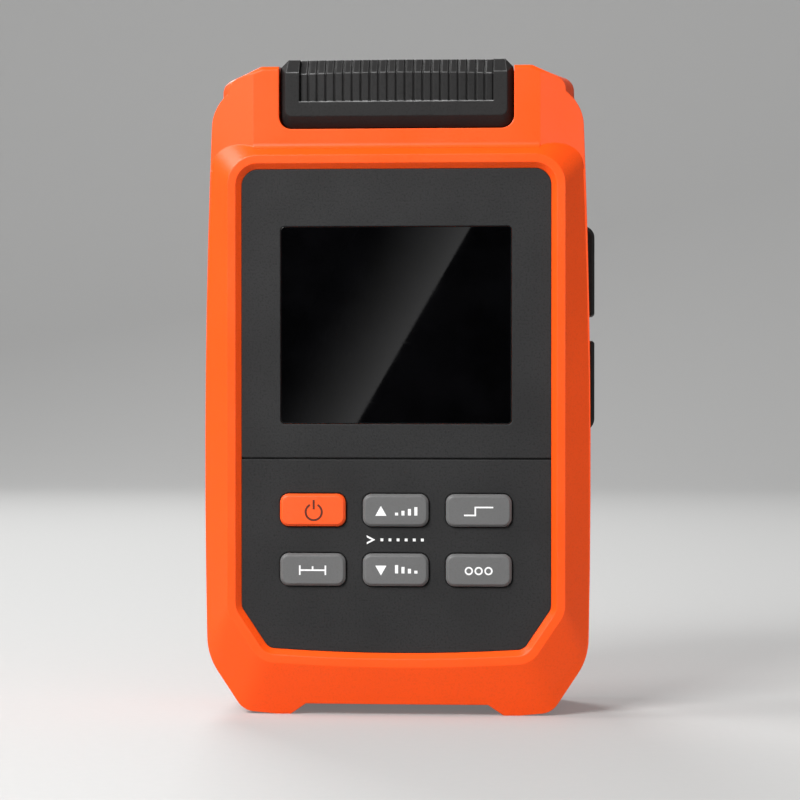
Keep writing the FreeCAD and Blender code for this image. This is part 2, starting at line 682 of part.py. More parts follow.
def make_front_case():
    """Front shell: faceted bezel, neck with its side facets, openings and screw bosses."""
    body = new_body("front_case")
    body_front = body_outline()
    pad(body, "y", "Places.facet_y", "Places.parting_y", [body_front])
    plate = mirrored([
        Corner(P.shoulder_width / 2, S.fascia_high),
        Corner(P.shoulder_width / 2, S.shoulder_height, S.shoulder_radius),
        Corner(P.neck_plate_width / 2, S.neck_plate_height, S.crown_radius),
    ])
    pad(body, "y", "Places.neck_y", "Places.facet_y", [plate])
    bevel_depth = S.neck_bevel - S.crown_rise
    loft(body, "AdditiveLoft", [
        ("Places.neck_y", neck_outline(S.neck_side_bevel, S.neck_bevel)),
        ("Places.neck_crown_y", neck_outline(S.neck_side_bevel - bevel_depth, S.crown_rise)),
        ("Places.parting_y", neck_outline())])
    # Side facets of the neck, cut down past the bezel that later covers their lower ends
    flat = P.neck_flat / 2
    reach = S.case_width / 2 + S.wall
    slope = S.neck_fall / (P.shoulder_width / 2 - flat)
    fall_y = P.neck_y + slope * (reach - flat)
    facets = [[Corner(side * flat, P.land_y), Corner(side * flat, P.neck_y),
               Corner(side * reach, fall_y), Corner(side * reach, P.land_y)] for side in (-1, 1)]
    cut(body, "z", "Places.above_z", "Sizes.fascia_high", facets)
    # Bezel
    fascia = fascia_outline()
    lip = grown(fascia, S.bezel_lip)
    land = grown(fascia, S.bezel_lip + S.bezel_land)
    loft(body, "AdditiveLoft", [("Places.facet_y", bezel_base()), ("Places.land_y", land)])
    fill_cove(body)
    loft(body, "SubtractiveLoft", [("Places.land_y", lip), ("Places.fascia_y", fascia)])
    cut(body, "y", "Places.fascia_y", "Places.fascia_back_y", [fascia])
    # Openings for the display and the keys, then the hollow behind them
    ledge = 2 * S.window_ledge
    window = centred(0.0, S.window_centre, S.window_width - ledge, S.window_height - ledge)
    cut(body, "y", "Places.fascia_back_y", "Places.floor_back_y", [window])
    cut(body, "y", "Places.fascia_back_y", "Places.floor_back_y", key_openings())
    cut(body, "y", "Places.parting_y", "Places.floor_back_y", [cavity_outline()])
    cut(body, "y", "Places.parting_y", "Places.floor_back_y", ear_outlines())
    cut(body, "y", "Places.land_y", "Places.parting_y", [slot_outline()])
    pad(body, "y", "Places.floor_back_y", "Places.board_y", board_ribs())
    pad(body, "y", "Places.floor_back_y", "Places.parting_y", screw_pillars())
    pilots = [(u, v, "Sizes.screw_shank_radius") for u, v in screw_places()]
    cut(body, "y", "Places.parting_y", "Places.parting_y - Sizes.screw_bite", circles=pilots)
    trim_feet(body)
    return body


def fill_cove(body):
    """Concave strip between the bezel's top facet and the neck's middle facet."""
    land_top = S.fascia_high + S.bezel_lip + S.bezel_land
    run, rise = P.facet_y - P.land_y, S.bezel_top - land_top
    meet_z = land_top + rise * (P.neck_y - P.land_y) / run
    slope = math.hypot(run, rise)
    turn_angle = math.pi / 2 - math.atan2(run, rise)
    setback = S.cove_radius * math.tan(turn_angle / 2)
    low = (P.neck_y - setback * run / slope, meet_z - setback * rise / slope)
    high = (P.neck_y, meet_z + setback)
    centre = (P.neck_y - S.cove_radius, high[1])
    middle_angle = math.atan2((low[1] + high[1]) / 2 - centre[1], (low[0] + high[0]) / 2 - centre[0])
    middle = (centre[0] + S.cove_radius * math.cos(middle_angle),
              centre[1] + S.cove_radius * math.sin(middle_angle))
    inside = (P.facet_y, meet_z)
    sketch = draw(body, "x", "Places.origin")
    sketch.addGeometry([
        arc_between(low, middle, high),
        Part.LineSegment(FreeCAD.Vector(*high, 0), FreeCAD.Vector(*inside, 0)),
        Part.LineSegment(FreeCAD.Vector(*inside, 0), FreeCAD.Vector(*low, 0)),
    ], False)
    join_ends(sketch)
    cove = body.newObject("PartDesign::Pad", unique("Pad"))
    cove.Profile = sketch
    cove.Midplane = True
    cove.setExpression("Length", "Places.neck_flat")
    return cove


def make_rear_case():
    """Rear shell: sides, battery tray, deck, ears, port wall, posts and screw bosses."""
    body = new_body("rear_case")
    outline = body_outline()
    neck = neck_outline()
    for form in (outline, neck):
        pad(body, "y", "Places.parting_y", "Places.rear_edge_y", [form])
        loft(body, "AdditiveLoft", [("Places.rear_edge_y", form),
                                    ("Places.rear_y", grown(form, -S.rear_bevel))])
    cut(body, "y", "Places.parting_y", "Places.rear_inner_y", [cavity_outline()])
    cut(body, "y", "Places.parting_y", "Places.hinge_y - Sizes.hinge_radius", ear_outlines())
    # Battery tray with the door's rebate
    tray = centred(0.0, P.tray_middle_z, 2 * P.tray_half, P.tray_high_z - S.tray_low)
    pad(body, "y", "Places.tray_front_y", "Places.rear_inner_y", [grown(tray, S.tray_wall)])
    cut(body, "y", "Places.rear_y", "Places.tray_y", [tray])
    cut(body, "y", "Places.rear_y", "Places.door_y", [door_outline(S.door_gap)])
    # Opening for the flip cover, over the deck that carries the ports
    cut(body, "y", "Places.parting_y", "Places.rear_inner_y", [slot_outline()])
    over_wall = rectangle(-P.slot_half, P.slot_half, P.hinge_wall_z, P.above_z)
    cut(body, "y", "Places.rear_inner_y", "Places.rear_y", [over_wall])
    knuckle = [(P.hinge_y, P.hinge_z, "Sizes.hinge_radius + Sizes.cover_gap")]
    cut(body, "x", "-Places.slot_half", "Places.slot_half", circles=knuckle)
    ports = [(side * P.port_x, S.port_offset, "Sizes.port_bush_radius + Sizes.running_gap")
             for side in (-1, 1)]
    cut(body, "z", "Places.deck_z", "Places.deck_low_z", circles=ports)
    hinge = [(P.hinge_y, P.hinge_z, "Sizes.hinge_pin_radius")]
    cut(body, "x", "-Places.hinge_pin_half", "Places.hinge_pin_half", circles=hinge)
    make_port_wall(body)
    pad(body, "y", "Places.board_back_y", "Places.rear_inner_y", board_ribs())
    pad(body, "y", "Places.parting_y", "Places.rear_inner_y", screw_pillars())
    shanks = [(u, v, "Sizes.screw_shank_radius + Sizes.seat_gap") for u, v in screw_places()]
    cut(body, "y", "Places.parting_y", "Places.rear_y", circles=shanks)
    heads = [(u, v, "Sizes.screw_head_radius + Sizes.seat_gap") for u, v in screw_places()]
    cut(body, "y", "Places.rear_y", "Places.head_y", circles=heads)
    trim_feet(body)
    return body


def make_port_wall(body):
    """Recesses for the two flaps in the right side, the wall behind them and its openings."""
    recesses = []
    mouths = []
    backing = []
    for blunt, axis in ((P.upper_blunt_z, P.upper_axis_z), (P.lower_blunt_z, P.lower_axis_z)):
        sign = math.copysign(1.0, axis - blunt)
        near = blunt - sign * S.flap_gap
        far = axis + sign * (S.flap_radius + S.flap_gap)
        reach = P.flap_x + S.wall
        recesses.append(rectangle(P.flap_floor_x, reach, min(near, axis), max(near, axis)))
        mouths.append(rectangle(P.flap_axis_x, reach, min(far, axis), max(far, axis)))
        backing.append(near - sign * S.wall)
        backing.append(far + sign * S.wall)
    wall = rectangle(P.port_wall_x, P.flap_axis_x, min(backing), max(backing))
    pad(body, "y", "Places.parting_y", "Places.flap_pin_back_y + Sizes.port_wall", [wall])
    knuckles = [(P.flap_axis_x, axis, "Sizes.flap_radius + Sizes.flap_gap")
                for axis in (P.upper_axis_z, P.lower_axis_z)]
    cut(body, "y", "Places.recess_front_y", "Places.recess_back_y", recesses)
    cut(body, "y", "Places.recess_front_y", "Places.recess_back_y", mouths)
    cut(body, "y", "Places.recess_front_y", "Places.recess_back_y", circles=knuckles)
    pins = [(P.flap_axis_x, axis, "Sizes.flap_pin_radius")
            for axis in (P.upper_axis_z, P.lower_axis_z)]
    cut(body, "y", "Places.flap_pin_front_y", "Places.flap_pin_back_y", circles=pins)
    usb = centred(P.usb_y, P.usb_z, S.usb_height + 2 * S.seat_gap, S.usb_width + 2 * S.seat_gap,
                  S.usb_height / 2)
    cut(body, "x", "Places.flap_floor_x", "Places.port_wall_x", [usb])
    jack = centred(P.jack_y, P.jack_z, S.jack_height + 2 * S.seat_gap,
                   S.jack_width + 2 * S.seat_gap)
    cut(body, "x", "Places.flap_floor_x", "Places.port_wall_x", [jack])


def sorted_ring(corners):
    """List a ring of corners anticlockwise."""
    area = sum(a.u * b.v - b.u * a.v for a, b in zip(corners, corners[1:] + corners[:1]))
    return corners if area > 0 else corners[::-1]


def door_outline(gap=0.0):
    """Front view of the battery door, or of its rebate with a gap all round."""
    tray = centred(0.0, P.tray_middle_z, 2 * P.tray_half, P.tray_high_z - S.tray_low,
                   S.door_corner)
    return grown(tray, S.door_ledge - S.door_gap + gap)


# ---------------------------------------------------------------- face


def make_fascia():
    """Front panel with its groove and the openings for window and keys."""
    body = new_body("fascia")
    pad(body, "y", "Places.fascia_y", "Places.fascia_back_y",
        [grown(fascia_outline(), -S.seat_gap / 2)])
    window = centred(0.0, S.window_centre, S.window_width + 2 * S.seat_gap,
                     S.window_height + 2 * S.seat_gap, S.window_corner + S.seat_gap)
    cut(body, "y", "Places.fascia_y", "Places.fascia_back_y", [window] + key_openings(S.key_corner + S.key_gap))
    seam = centred(0.0, S.seam_height, P.fascia_width + S.wall, S.seam_width)
    cut(body, "y", "Places.fascia_y", "Places.fascia_y + Sizes.seam_depth", [seam])
    return body


def make_window():
    """Flush display window."""
    body = new_body("display_window")
    pane = centred(0.0, S.window_centre, S.window_width, S.window_height, S.window_corner)
    pad(body, "y", "Places.fascia_y", "Places.fascia_back_y", [pane])
    return body


def make_display():
    """Display glass and the light guide between it and the board."""
    opening = S.window_width - 2 * S.window_ledge, S.window_height - 2 * S.window_ledge
    outline = centred(0.0, S.window_centre, opening[0] + 2 * S.display_margin,
                      opening[1] + 2 * S.display_margin)
    glass = new_body("lcd_panel")
    pad(glass, "y", "Places.display_y", "Places.display_back_y", [outline])
    light = new_body("backlight")
    pad(light, "y", "Places.display_back_y", "Places.board_y", [outline])
    return [glass, light]


def make_key(name, u, v):
    """Key cap with a bevelled front and a flange that keeps it behind the shell."""
    body = new_body(name)
    cap = centred(u, v, S.key_width, S.key_height, S.key_corner)
    reach = 2 * (S.key_gap + S.key_flange)
    flange = centred(u, v, S.key_width + reach, S.key_height + reach)
    pad(body, "y", "Places.key_y", "Places.flange_y", [cap])
    pad(body, "y", "Places.flange_y", "Places.key_back_y", [flange])
    chamfer(body, "Sizes.key_bevel", lambda edge, middle: abs(middle.y - P.key_y) < 1e-4)
    return body


def make_keypad_mat():
    """Rubber mat on the board with a raised pad behind each key."""
    body = new_body("keypad_mat")
    width = 2 * S.key_pitch + S.key_width + 2 * S.mat_margin
    height = S.key_top_row - S.key_low_row + S.key_height + 2 * S.mat_margin
    middle = (S.key_top_row + S.key_low_row) / 2
    pad(body, "y", "Places.mat_y", "Places.board_y", [centred(0.0, middle, width, height)])
    pads = [centred(u, v, S.mat_pad_width, S.mat_pad_height) for u, v in key_places().values()]
    pad(body, "y", "Places.dome_y", "Places.mat_y", pads)
    return body


# ---------------------------------------------------------------- flip cover


def cover_front():
    """Front view of the flip cover at the back of its bevel."""
    half = S.cover_width / 2
    return mirrored([
        Corner(half, S.cover_low, S.cover_corner),
        Corner(half, S.cover_high - S.cover_end_chamfer),
        Corner(half - S.cover_end_chamfer, S.cover_high),
    ])


def cover_face():
    """Flat front face of the flip cover inside its bevel."""
    half = S.cover_width / 2 - S.cover_side_bevel
    return mirrored([
        Corner(half, S.cover_low + S.cover_low_bevel, S.cover_corner - S.cover_side_bevel),
        Corner(half, S.cover_high - S.cover_top_bevel - S.cover_face_chamfer),
        Corner(half - S.cover_face_chamfer, S.cover_high - S.cover_top_bevel),
    ])


def rib_line():
    """Points of the grip's floor: ribs on a shallow arch, with a groove between neighbours."""
    pitch = S.grip_width / S.rib_count
    half = S.grip_width / 2
    points = []
    for index in range(S.rib_count):
        left = -half + index * pitch
        for share, groove in ((0.0, S.rib_depth), (S.rib_start, 0.0), (S.rib_end, 0.0)):
            u = left + share * pitch
            arch = S.grip_edge_depth - S.grip_middle_depth
            points.append((u, S.grip_middle_depth + arch * (u / half) ** 2 + groove))
    points.append((half, S.grip_edge_depth + S.rib_depth))
    return points


def make_flip_cover():
    """Ribbed cover: bevelled front, roof and ends on a knuckle, hollow over the ports."""
    body = new_body("flip_cover")
    front = cover_front()
    half = S.cover_width / 2
    loft(body, "AdditiveLoft", [("Places.cover_y", cover_face()), ("Places.cover_edge_y", front)])
    pad(body, "y", "Places.cover_edge_y", "Places.skirt_back_y", [front])
    roof_low = P.hinge_z - S.hinge_radius
    roof = mirrored([
        Corner(half, roof_low),
        Corner(half, S.cover_high - S.cover_end_chamfer),
        Corner(half - S.cover_end_chamfer, S.cover_high),
    ])
    pad(body, "y", "Places.skirt_back_y", "Places.hinge_y", [roof])
    # Knuckle round the hinge pin, its ends chamfered like the roof
    knuckle = [Corner(-half, P.hinge_z), Corner(half, P.hinge_z),
               Corner(half, S.cover_high - S.cover_end_chamfer),
               Corner(half - S.cover_end_chamfer, S.cover_high),
               Corner(S.cover_end_chamfer - half, S.cover_high),
               Corner(-half, S.cover_high - S.cover_end_chamfer)]
    revolve(body, "Places.hinge_y", knuckle, (-half, P.hinge_z), (half, P.hinge_z))
    # Hollow under the roof, between the ends
    inner = half - S.cover_skin
    cut(body, "y", "Places.skirt_back_y", "Places.hinge_y - Sizes.hinge_radius",
        [rectangle(-inner, inner, S.cover_low - S.wall, S.cover_high - S.cover_skin)])
    bore = [(P.hinge_y, P.hinge_z, "Sizes.hinge_pin_radius + Sizes.running_gap")]
    cut(body, "x", "-Places.hinge_pin_half", "Places.hinge_pin_half", circles=bore)
    cut_grip(body)
    return body


def cut_grip(body):
    """Cut the ribbed grip down the front face and back along the top bevel."""
    points = rib_line()
    front = [Corner(u, P.cover_y + depth) for u, depth in points]
    outside = P.cover_y - S.wall
    face = [Corner(-S.grip_width / 2, outside)] + front + [Corner(S.grip_width / 2, outside)]
    crease_z = S.cover_high - S.cover_top_bevel
    cut(body, "z", "Places.grip_top_z", "Sizes.grip_low", [sorted_ring(face)])
    # The same floor on the bevel: the sketch plane leans back with it, through the crease
    lean = math.atan2(S.cover_bevel, S.cover_top_bevel)
    sketch = body.newObject("Sketcher::SketchObject", unique("Sketch"))
    plane = [item for item in body.Origin.OriginFeatures if item.Role == "XY_Plane"][0]
    sketch.AttachmentSupport = [(plane, "")]
    sketch.MapMode = "FlatFace"
    sketch.AttachmentOffset = FreeCAD.Placement(
        FreeCAD.Vector(0, P.cover_y, crease_z),
        FreeCAD.Rotation(FreeCAD.Vector(1, 0, 0), -math.degrees(lean)))
    ring = [Corner(-S.grip_width / 2, -S.wall)]
    ring += [Corner(u, depth) for u, depth in points]
    ring.append(Corner(S.grip_width / 2, -S.wall))
    sketch.addGeometry(rounded_outline(sorted_ring(ring)), False)
    join_ends(sketch)
    pocket = body.newObject("PartDesign::Pocket", unique("Pocket"))
    pocket.Profile = sketch
    pocket.setExpression("Length", "2 * Sizes.cover_top_bevel")
    pocket.Reversed = True
    return pocket


# ---------------------------------------------------------------- ports and flaps


def make_port(name, u):
    """Turned metal adapter: bush, flange, threaded barrel and the sleeve for the ferrule."""
    body = new_body(name)
    inner = S.port_barrel_radius - S.port_barrel_wall
    floor = P.flange_z
    profile = [
        (S.ferrule_radius, P.bush_z), (S.port_bush_radius, P.bush_z),
        (S.port_bush_radius, P.deck_z), (S.port_flange_radius, P.deck_z),
        (S.port_flange_radius, P.flange_z), (S.port_barrel_radius, P.flange_z),
        (S.port_barrel_radius, P.barrel_z), (inner, P.barrel_z), (inner, floor),
        (S.sleeve_radius, floor), (S.sleeve_radius, P.sleeve_z), (S.ferrule_radius, P.sleeve_z)]
    revolve(body, "Sizes.port_offset", [Corner(u + radius, height) for radius, height in profile],
            (u, P.bush_z), (u, P.barrel_z))
    slot = rectangle(u - S.port_key_width / 2, u + S.port_key_width / 2,
                     P.barrel_z - S.port_key_depth, P.barrel_z + S.wall)
    cut(body, "y", "Sizes.port_offset - Sizes.port_flange_radius",
        "Sizes.port_offset - Sizes.sleeve_radius", [slot])
    return body


def make_port_nut(name, u):
    """Hexagon nut that holds a port to the deck from below."""
    body = new_body(name)
    radius = S.port_nut_width / math.sqrt(3)
    hexagon = [Corner(u + radius * math.cos(math.radians(60 * step)),
                      S.port_offset + radius * math.sin(math.radians(60 * step)))
               for step in range(6)]
    bore = [(u, S.port_offset, "Sizes.port_bush_radius + Sizes.running_gap")]
    pad(body, "z", "Places.deck_low_z", "Places.deck_low_z - Sizes.port_nut_thickness",
        [hexagon], bore)
    return body


def make_detector(name, u):
    """Photodiode can glued over the lower end of a port's bore, with its two leads."""
    body = new_body(name)
    can = [(u, S.port_offset, "Sizes.detector_radius")]
    pad(body, "z", "Places.bush_z", "Places.bush_z - Sizes.detector_height", circles=can)
    leads = [centred(u + side * S.detector_radius / 2, S.port_offset, S.lead_width, S.lead_width)
             for side in (-1, 1)]
    pad(body, "z", "Places.bush_z - Sizes.detector_height", "Places.lead_low_z", leads)
    return body


def make_flap(name, blunt, axis):
    """Side port cover: rounded about its pin at one end, blunt at the other."""
    body = new_body(name)
    sign = math.copysign(1.0, axis - blunt)
    inner = P.flap_x - S.flap_thickness
    outline = sorted_ring([
        Corner(inner, blunt), Corner(P.flap_x - S.flap_chamfer, blunt),
        Corner(P.flap_x, blunt + sign * S.flap_chamfer), Corner(P.flap_x, axis),
        Corner(inner, axis)])
    pad(body, "y", "Places.flap_front_y", "Places.flap_back_y", [outline])
    knuckle = [(P.flap_axis_x, axis, "Sizes.flap_radius")]
    pad(body, "y", "Places.flap_front_y", "Places.flap_back_y", circles=knuckle)
    bore = [(P.flap_axis_x, axis, "Sizes.flap_pin_radius + Sizes.running_gap")]
    cut(body, "y", "Places.flap_front_y", "Places.flap_back_y", circles=bore)
    chamfer(body, "Sizes.flap_chamfer", lambda edge, middle: (
        abs(middle.x - P.flap_x) < 1e-4 and edge.Length > S.flap_length / 2
        and abs(abs(middle.y - P.flap_centre_y) - S.flap_width / 2) < 1e-4))
    return body


def make_rod(name, axis, start, end, u, v, radius):
    """Plain round pin."""
    body = new_body(name)
    pad(body, axis, start, end, circles=[(u, v, radius)])
    return body


def make_usb_socket():
    """Sheet-metal socket with its tongue."""
    body = new_body("usb_socket")
    outer = centred(P.usb_y, P.usb_z, S.usb_height, S.usb_width, S.usb_height / 2 - 0.01)
    pad(body, "x", "Places.socket_x - Sizes.usb_depth", "Places.socket_x", [outer])
    mouth = grown(outer, -S.usb_shell)
    cut(body, "x", "Places.socket_x", "Places.socket_x - Sizes.usb_depth + Sizes.wall", [mouth])
    tongue = centred(P.usb_y, P.usb_z, 2 * S.usb_shell, 2 * S.usb_width / 3)
    pad(body, "x", "Places.socket_x - Sizes.usb_depth + Sizes.wall",
        "Places.socket_x - Sizes.usb_shell", [tongue])
    return body


def make_jack():
    """Barrel jack on the board: a block whose face fills its opening, bore and centre pin."""
    body = new_body("charging_jack")
    block = centred(P.jack_y, P.jack_z, S.jack_height, S.jack_width)
    pad(body, "x", "Places.socket_x - Sizes.jack_depth", "Places.socket_x", [block])
    bore = [(P.jack_y, P.jack_z, "Sizes.jack_bore_radius")]
    cut(body, "x", "Places.socket_x", "Places.socket_x - Sizes.jack_bore_depth", circles=bore)
    pin = [(P.jack_y, P.jack_z, "Sizes.jack_pin_radius")]
    pad(body, "x", "Places.socket_x - Sizes.jack_bore_depth", "Places.socket_x - Sizes.usb_shell",
        circles=pin)
    return body


# ---------------------------------------------------------------- board and battery


def make_main_board():
    """Circuit board."""
    body = new_body("main_board")
    board = rectangle(-P.board_half, P.board_half, S.board_low, S.board_high)
    pad(body, "y", "Places.board_y", "Places.board_back_y", [board])
    return body


def make_shield():
    """Folded metal lid over the amplifier, open towards the board."""
    body = new_body("amplifier_shield")
    outline = centred(S.part_offset, S.shield_centre, S.shield_width, S.shield_height)
    pad(body, "y", "Places.board_back_y", "Places.board_back_y + Sizes.shield_depth", [outline])
    cut(body, "y", "Places.board_back_y",
        "Places.board_back_y + Sizes.shield_depth - Sizes.shield_skin",
        [grown(outline, -S.shield_skin)])
    return body


def make_buzzer():
    """Round buzzer."""
    body = new_body("buzzer")
    disc = [(-S.part_offset, S.shield_centre, "Sizes.buzzer_radius")]
    pad(body, "y", "Places.board_back_y", "Places.board_back_y + Sizes.buzzer_depth", circles=disc)
    return body


def make_cell(name, column, upright):
    """AA cell with its nub, standing upright or upside down in its column of the tray."""
    body = new_body(name)
    u = column * P.cell_pitch
    sign = "+" if upright else "-"
    base = "Places.cell_low_z" if upright else "Places.cell_high_z"
    shoulder = f"{base} {sign} Sizes.cell_length"
    tip = f"{shoulder} {sign} Sizes.cell_nub_height"
    pad(body, "z", base, shoulder, circles=[(u, P.cell_y, "Sizes.cell_radius")])
    pad(body, "z", shoulder, tip, circles=[(u, P.cell_y, "Sizes.cell_nub_radius")])
    return body


def make_contact(name, low_end, columns, spring_column=None):
    """Contact plate across columns of one end of the tray, with a spring in one of them or none.

    A column is -1, 0 or 1 across the tray; the spring is the solid of its coils.
    """
    body = new_body(name)
    half = S.contact_width / 2
    plate = rectangle(min(columns) * P.cell_pitch - half, max(columns) * P.cell_pitch + half,
                      P.cell_y - half, P.cell_y + half)
    outer, sign = ("Sizes.tray_low", "+") if low_end else ("Places.tray_high_z", "-")
    inner = f"{outer} {sign} Sizes.contact_thickness"
    pad(body, "z", outer, inner, [plate])
    if spring_column is not None:
        coils = [(spring_column * P.cell_pitch, P.cell_y, "Sizes.spring_radius")]
        pad(body, "z", inner, f"{inner} {sign} Sizes.spring_height", circles=coils)
    return body


def make_battery_door():
    """Lift-off door with thumb grooves near its upper edge."""
    body = new_body("battery_door")
    pad(body, "y", "Places.door_y", "Places.rear_y", [door_outline()])
    top = P.tray_high_z - S.grip_groove_pitch
    grooves = [centred(0.0, top - step * S.grip_groove_pitch, S.grip_groove_length,
                       S.grip_groove_width) for step in range(S.grip_groove_count)]
    cut(body, "y", "Places.rear_y", "Places.rear_y - Sizes.grip_groove_depth", grooves)
    return body


# ---------------------------------------------------------------- fasteners


def make_case_screws():
    """One node with the four pan-head case screws, made of Part cylinders."""
    screws = []
    for index, (u, v) in enumerate(screw_places(), start=1):
        shank = doc.addObject("Part::Cylinder", f"screw_shank{index}")
        head = doc.addObject("Part::Cylinder", f"screw_head{index}")
        shank.setExpression("Radius", "Sizes.screw_shank_radius")
        shank.setExpression("Height", "Sizes.screw_length")
        head.setExpression("Radius", "Sizes.screw_head_radius")
        head.setExpression("Height", "Sizes.screw_head_height")
        for piece, direction in ((shank, -1), (head, 1)):
            turned = FreeCAD.Rotation(FreeCAD.Vector(0, 0, 1), FreeCAD.Vector(0, direction, 0))
            piece.Placement = FreeCAD.Placement(FreeCAD.Vector(u, P.head_y, v), turned)
            piece.setExpression("Placement.Base.y", "Places.head_y")
        screw = doc.addObject("Part::Fuse", f"screw{index}")
        screw.Base = shank
        screw.Tool = head
        screws.append(screw)
    group = doc.addObject("Part::Compound", "case_screws")
    group.Label = "case_screws"
    group.Links = screws
    return group


def make_everything():
    """Build each piece and return the objects that are exported, by label."""
    pieces = [make_front_case(), make_rear_case(), make_fascia(), make_window()]
    pieces += make_display()
    pieces += [make_key(name, u, v) for name, (u, v) in key_places().items()]
    pieces += [make_keypad_mat(), make_main_board(), make_shield(), make_buzzer()]
    pieces.append(make_flip_cover())
    pieces.append(make_rod("cover_hinge_pin", "x", "-Places.hinge_pin_half",
                           "Places.hinge_pin_half", P.hinge_y, P.hinge_z,
                           "Sizes.hinge_pin_radius"))
    for side, place in (("left", -P.port_x), ("right", P.port_x)):
        pieces.append(make_port(f"{side}_optical_port", place))
        pieces.append(make_port_nut(f"{side}_port_nut", place))
        pieces.append(make_detector(f"{side}_detector", place))
    for level, blunt, axis in (("upper", P.upper_blunt_z, P.upper_axis_z),
                               ("lower", P.lower_blunt_z, P.lower_axis_z)):
        pieces.append(make_flap(f"{level}_port_cover", blunt, axis))
        pieces.append(make_rod(f"{level}_cover_pin", "y", "Places.flap_pin_front_y",
                               "Places.flap_pin_back_y", P.flap_axis_x, axis,
                               "Sizes.flap_pin_radius"))
    pieces += [make_usb_socket(), make_jack()]
    for index, column in enumerate((-1, 0, 1), start=1):
        pieces.append(make_cell(f"battery_{index}", column, column != 0))
    pieces.append(make_contact("lower_end_contact", True, [-1], -1))
    pieces.append(make_contact("lower_link_contact", True, [0, 1], 1))
    pieces.append(make_contact("upper_link_contact", False, [-1, 0], 0))
    pieces.append(make_contact("upper_end_contact", False, [1]))
    pieces.append(make_battery_door())
    pieces.append(make_case_screws())
    return pieces


def check_document(pieces):
    """Stop if a feature failed, a shape is broken or a cut removed nothing."""
    doc.recompute()
    for item in doc.Objects:
        if "Invalid" in item.State or "Error" in item.State:
            raise RuntimeError(f"{item.Label} failed: {item.State}")
        if item.TypeId in ("PartDesign::Pocket", "PartDesign::SubtractiveLoft"):
            if item.BaseFeature.Shape.Volume - item.Shape.Volume < 1e-3:
                owner = item.getParentGeoFeatureGroup().Label
                raise RuntimeError(f"{item.Label} in {owner} cuts nothing")
    for piece in pieces:
        if piece.Shape.isNull() or not piece.Shape.isValid():
            raise RuntimeError(f"{piece.Label} has no valid shape")


def main():
    """Build the document, check it and write one STEP file for each piece."""
    pieces = make_everything()
    check_document(pieces)
    os.makedirs("parts", exist_ok=True)
    for piece in pieces:
        piece.Shape.exportStep(f"parts/{piece.Label}.step")
    print(f"{len(pieces)} pieces written")


main()
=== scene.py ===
import logging
import math
from dataclasses import dataclass, field
from enum import Enum
from typing import ClassVar, Iterable

import bmesh
import bpy
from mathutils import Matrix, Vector


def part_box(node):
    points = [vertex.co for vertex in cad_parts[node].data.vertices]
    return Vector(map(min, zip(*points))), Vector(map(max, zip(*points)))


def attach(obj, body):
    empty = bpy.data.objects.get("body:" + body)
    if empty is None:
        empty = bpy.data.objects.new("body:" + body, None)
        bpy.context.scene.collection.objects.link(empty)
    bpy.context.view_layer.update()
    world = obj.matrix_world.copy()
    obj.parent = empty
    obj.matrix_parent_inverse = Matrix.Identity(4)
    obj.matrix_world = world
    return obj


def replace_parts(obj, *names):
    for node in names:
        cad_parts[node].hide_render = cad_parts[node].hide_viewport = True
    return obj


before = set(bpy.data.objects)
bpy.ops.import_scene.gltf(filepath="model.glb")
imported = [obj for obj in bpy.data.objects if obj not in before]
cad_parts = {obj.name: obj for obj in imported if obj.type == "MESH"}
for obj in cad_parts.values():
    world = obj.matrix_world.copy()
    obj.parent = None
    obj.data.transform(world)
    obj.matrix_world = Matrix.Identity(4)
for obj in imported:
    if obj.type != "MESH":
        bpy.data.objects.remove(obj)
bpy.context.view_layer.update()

LOG = logging.getLogger("power_meter")
MM = 0.001

Colour = tuple[float, float, float]
Point = tuple[float, float]
Span = tuple[float, float]
Socket = bpy.types.NodeSocket

WHITE: Colour = (1.0, 1.0, 1.0)
BLACK: Colour = (0.0, 0.0, 0.0)
NOISE_SPAN: Span = (0.3, 0.7)
FINE_DETAIL = 5.0
FINEST_DETAIL = 6.0
EDGE_SAMPLES = 6
ROUND_SIDES = 40
TURN_STEPS = 32
THREAD_SIDES = 3
SPRING_SIDES = 10
MERGE_DISTANCE = 0.001 * MM
ROW_DIGITS = 4


class Slot(Enum):
    """Material slots of the record."""

    SHELL = "orange_shell"
    PANEL = "panel_grey"
    COVER = "cover_grey"
    WINDOW = "window"
    DISPLAY = "display"
    LIGHT_GUIDE = "light_guide"
    KEY_ORANGE = "key_orange"
    KEY_GREY = "key_grey"
    SILICONE = "silicone"
    BOARD = "circuit_board"
    TIN = "tin_plate"
    STEEL = "steel"
    NICKEL = "nickel"
    BLACK = "black_plastic"
    CELL = "cell_wrap"
    DOOR = "door_orange"


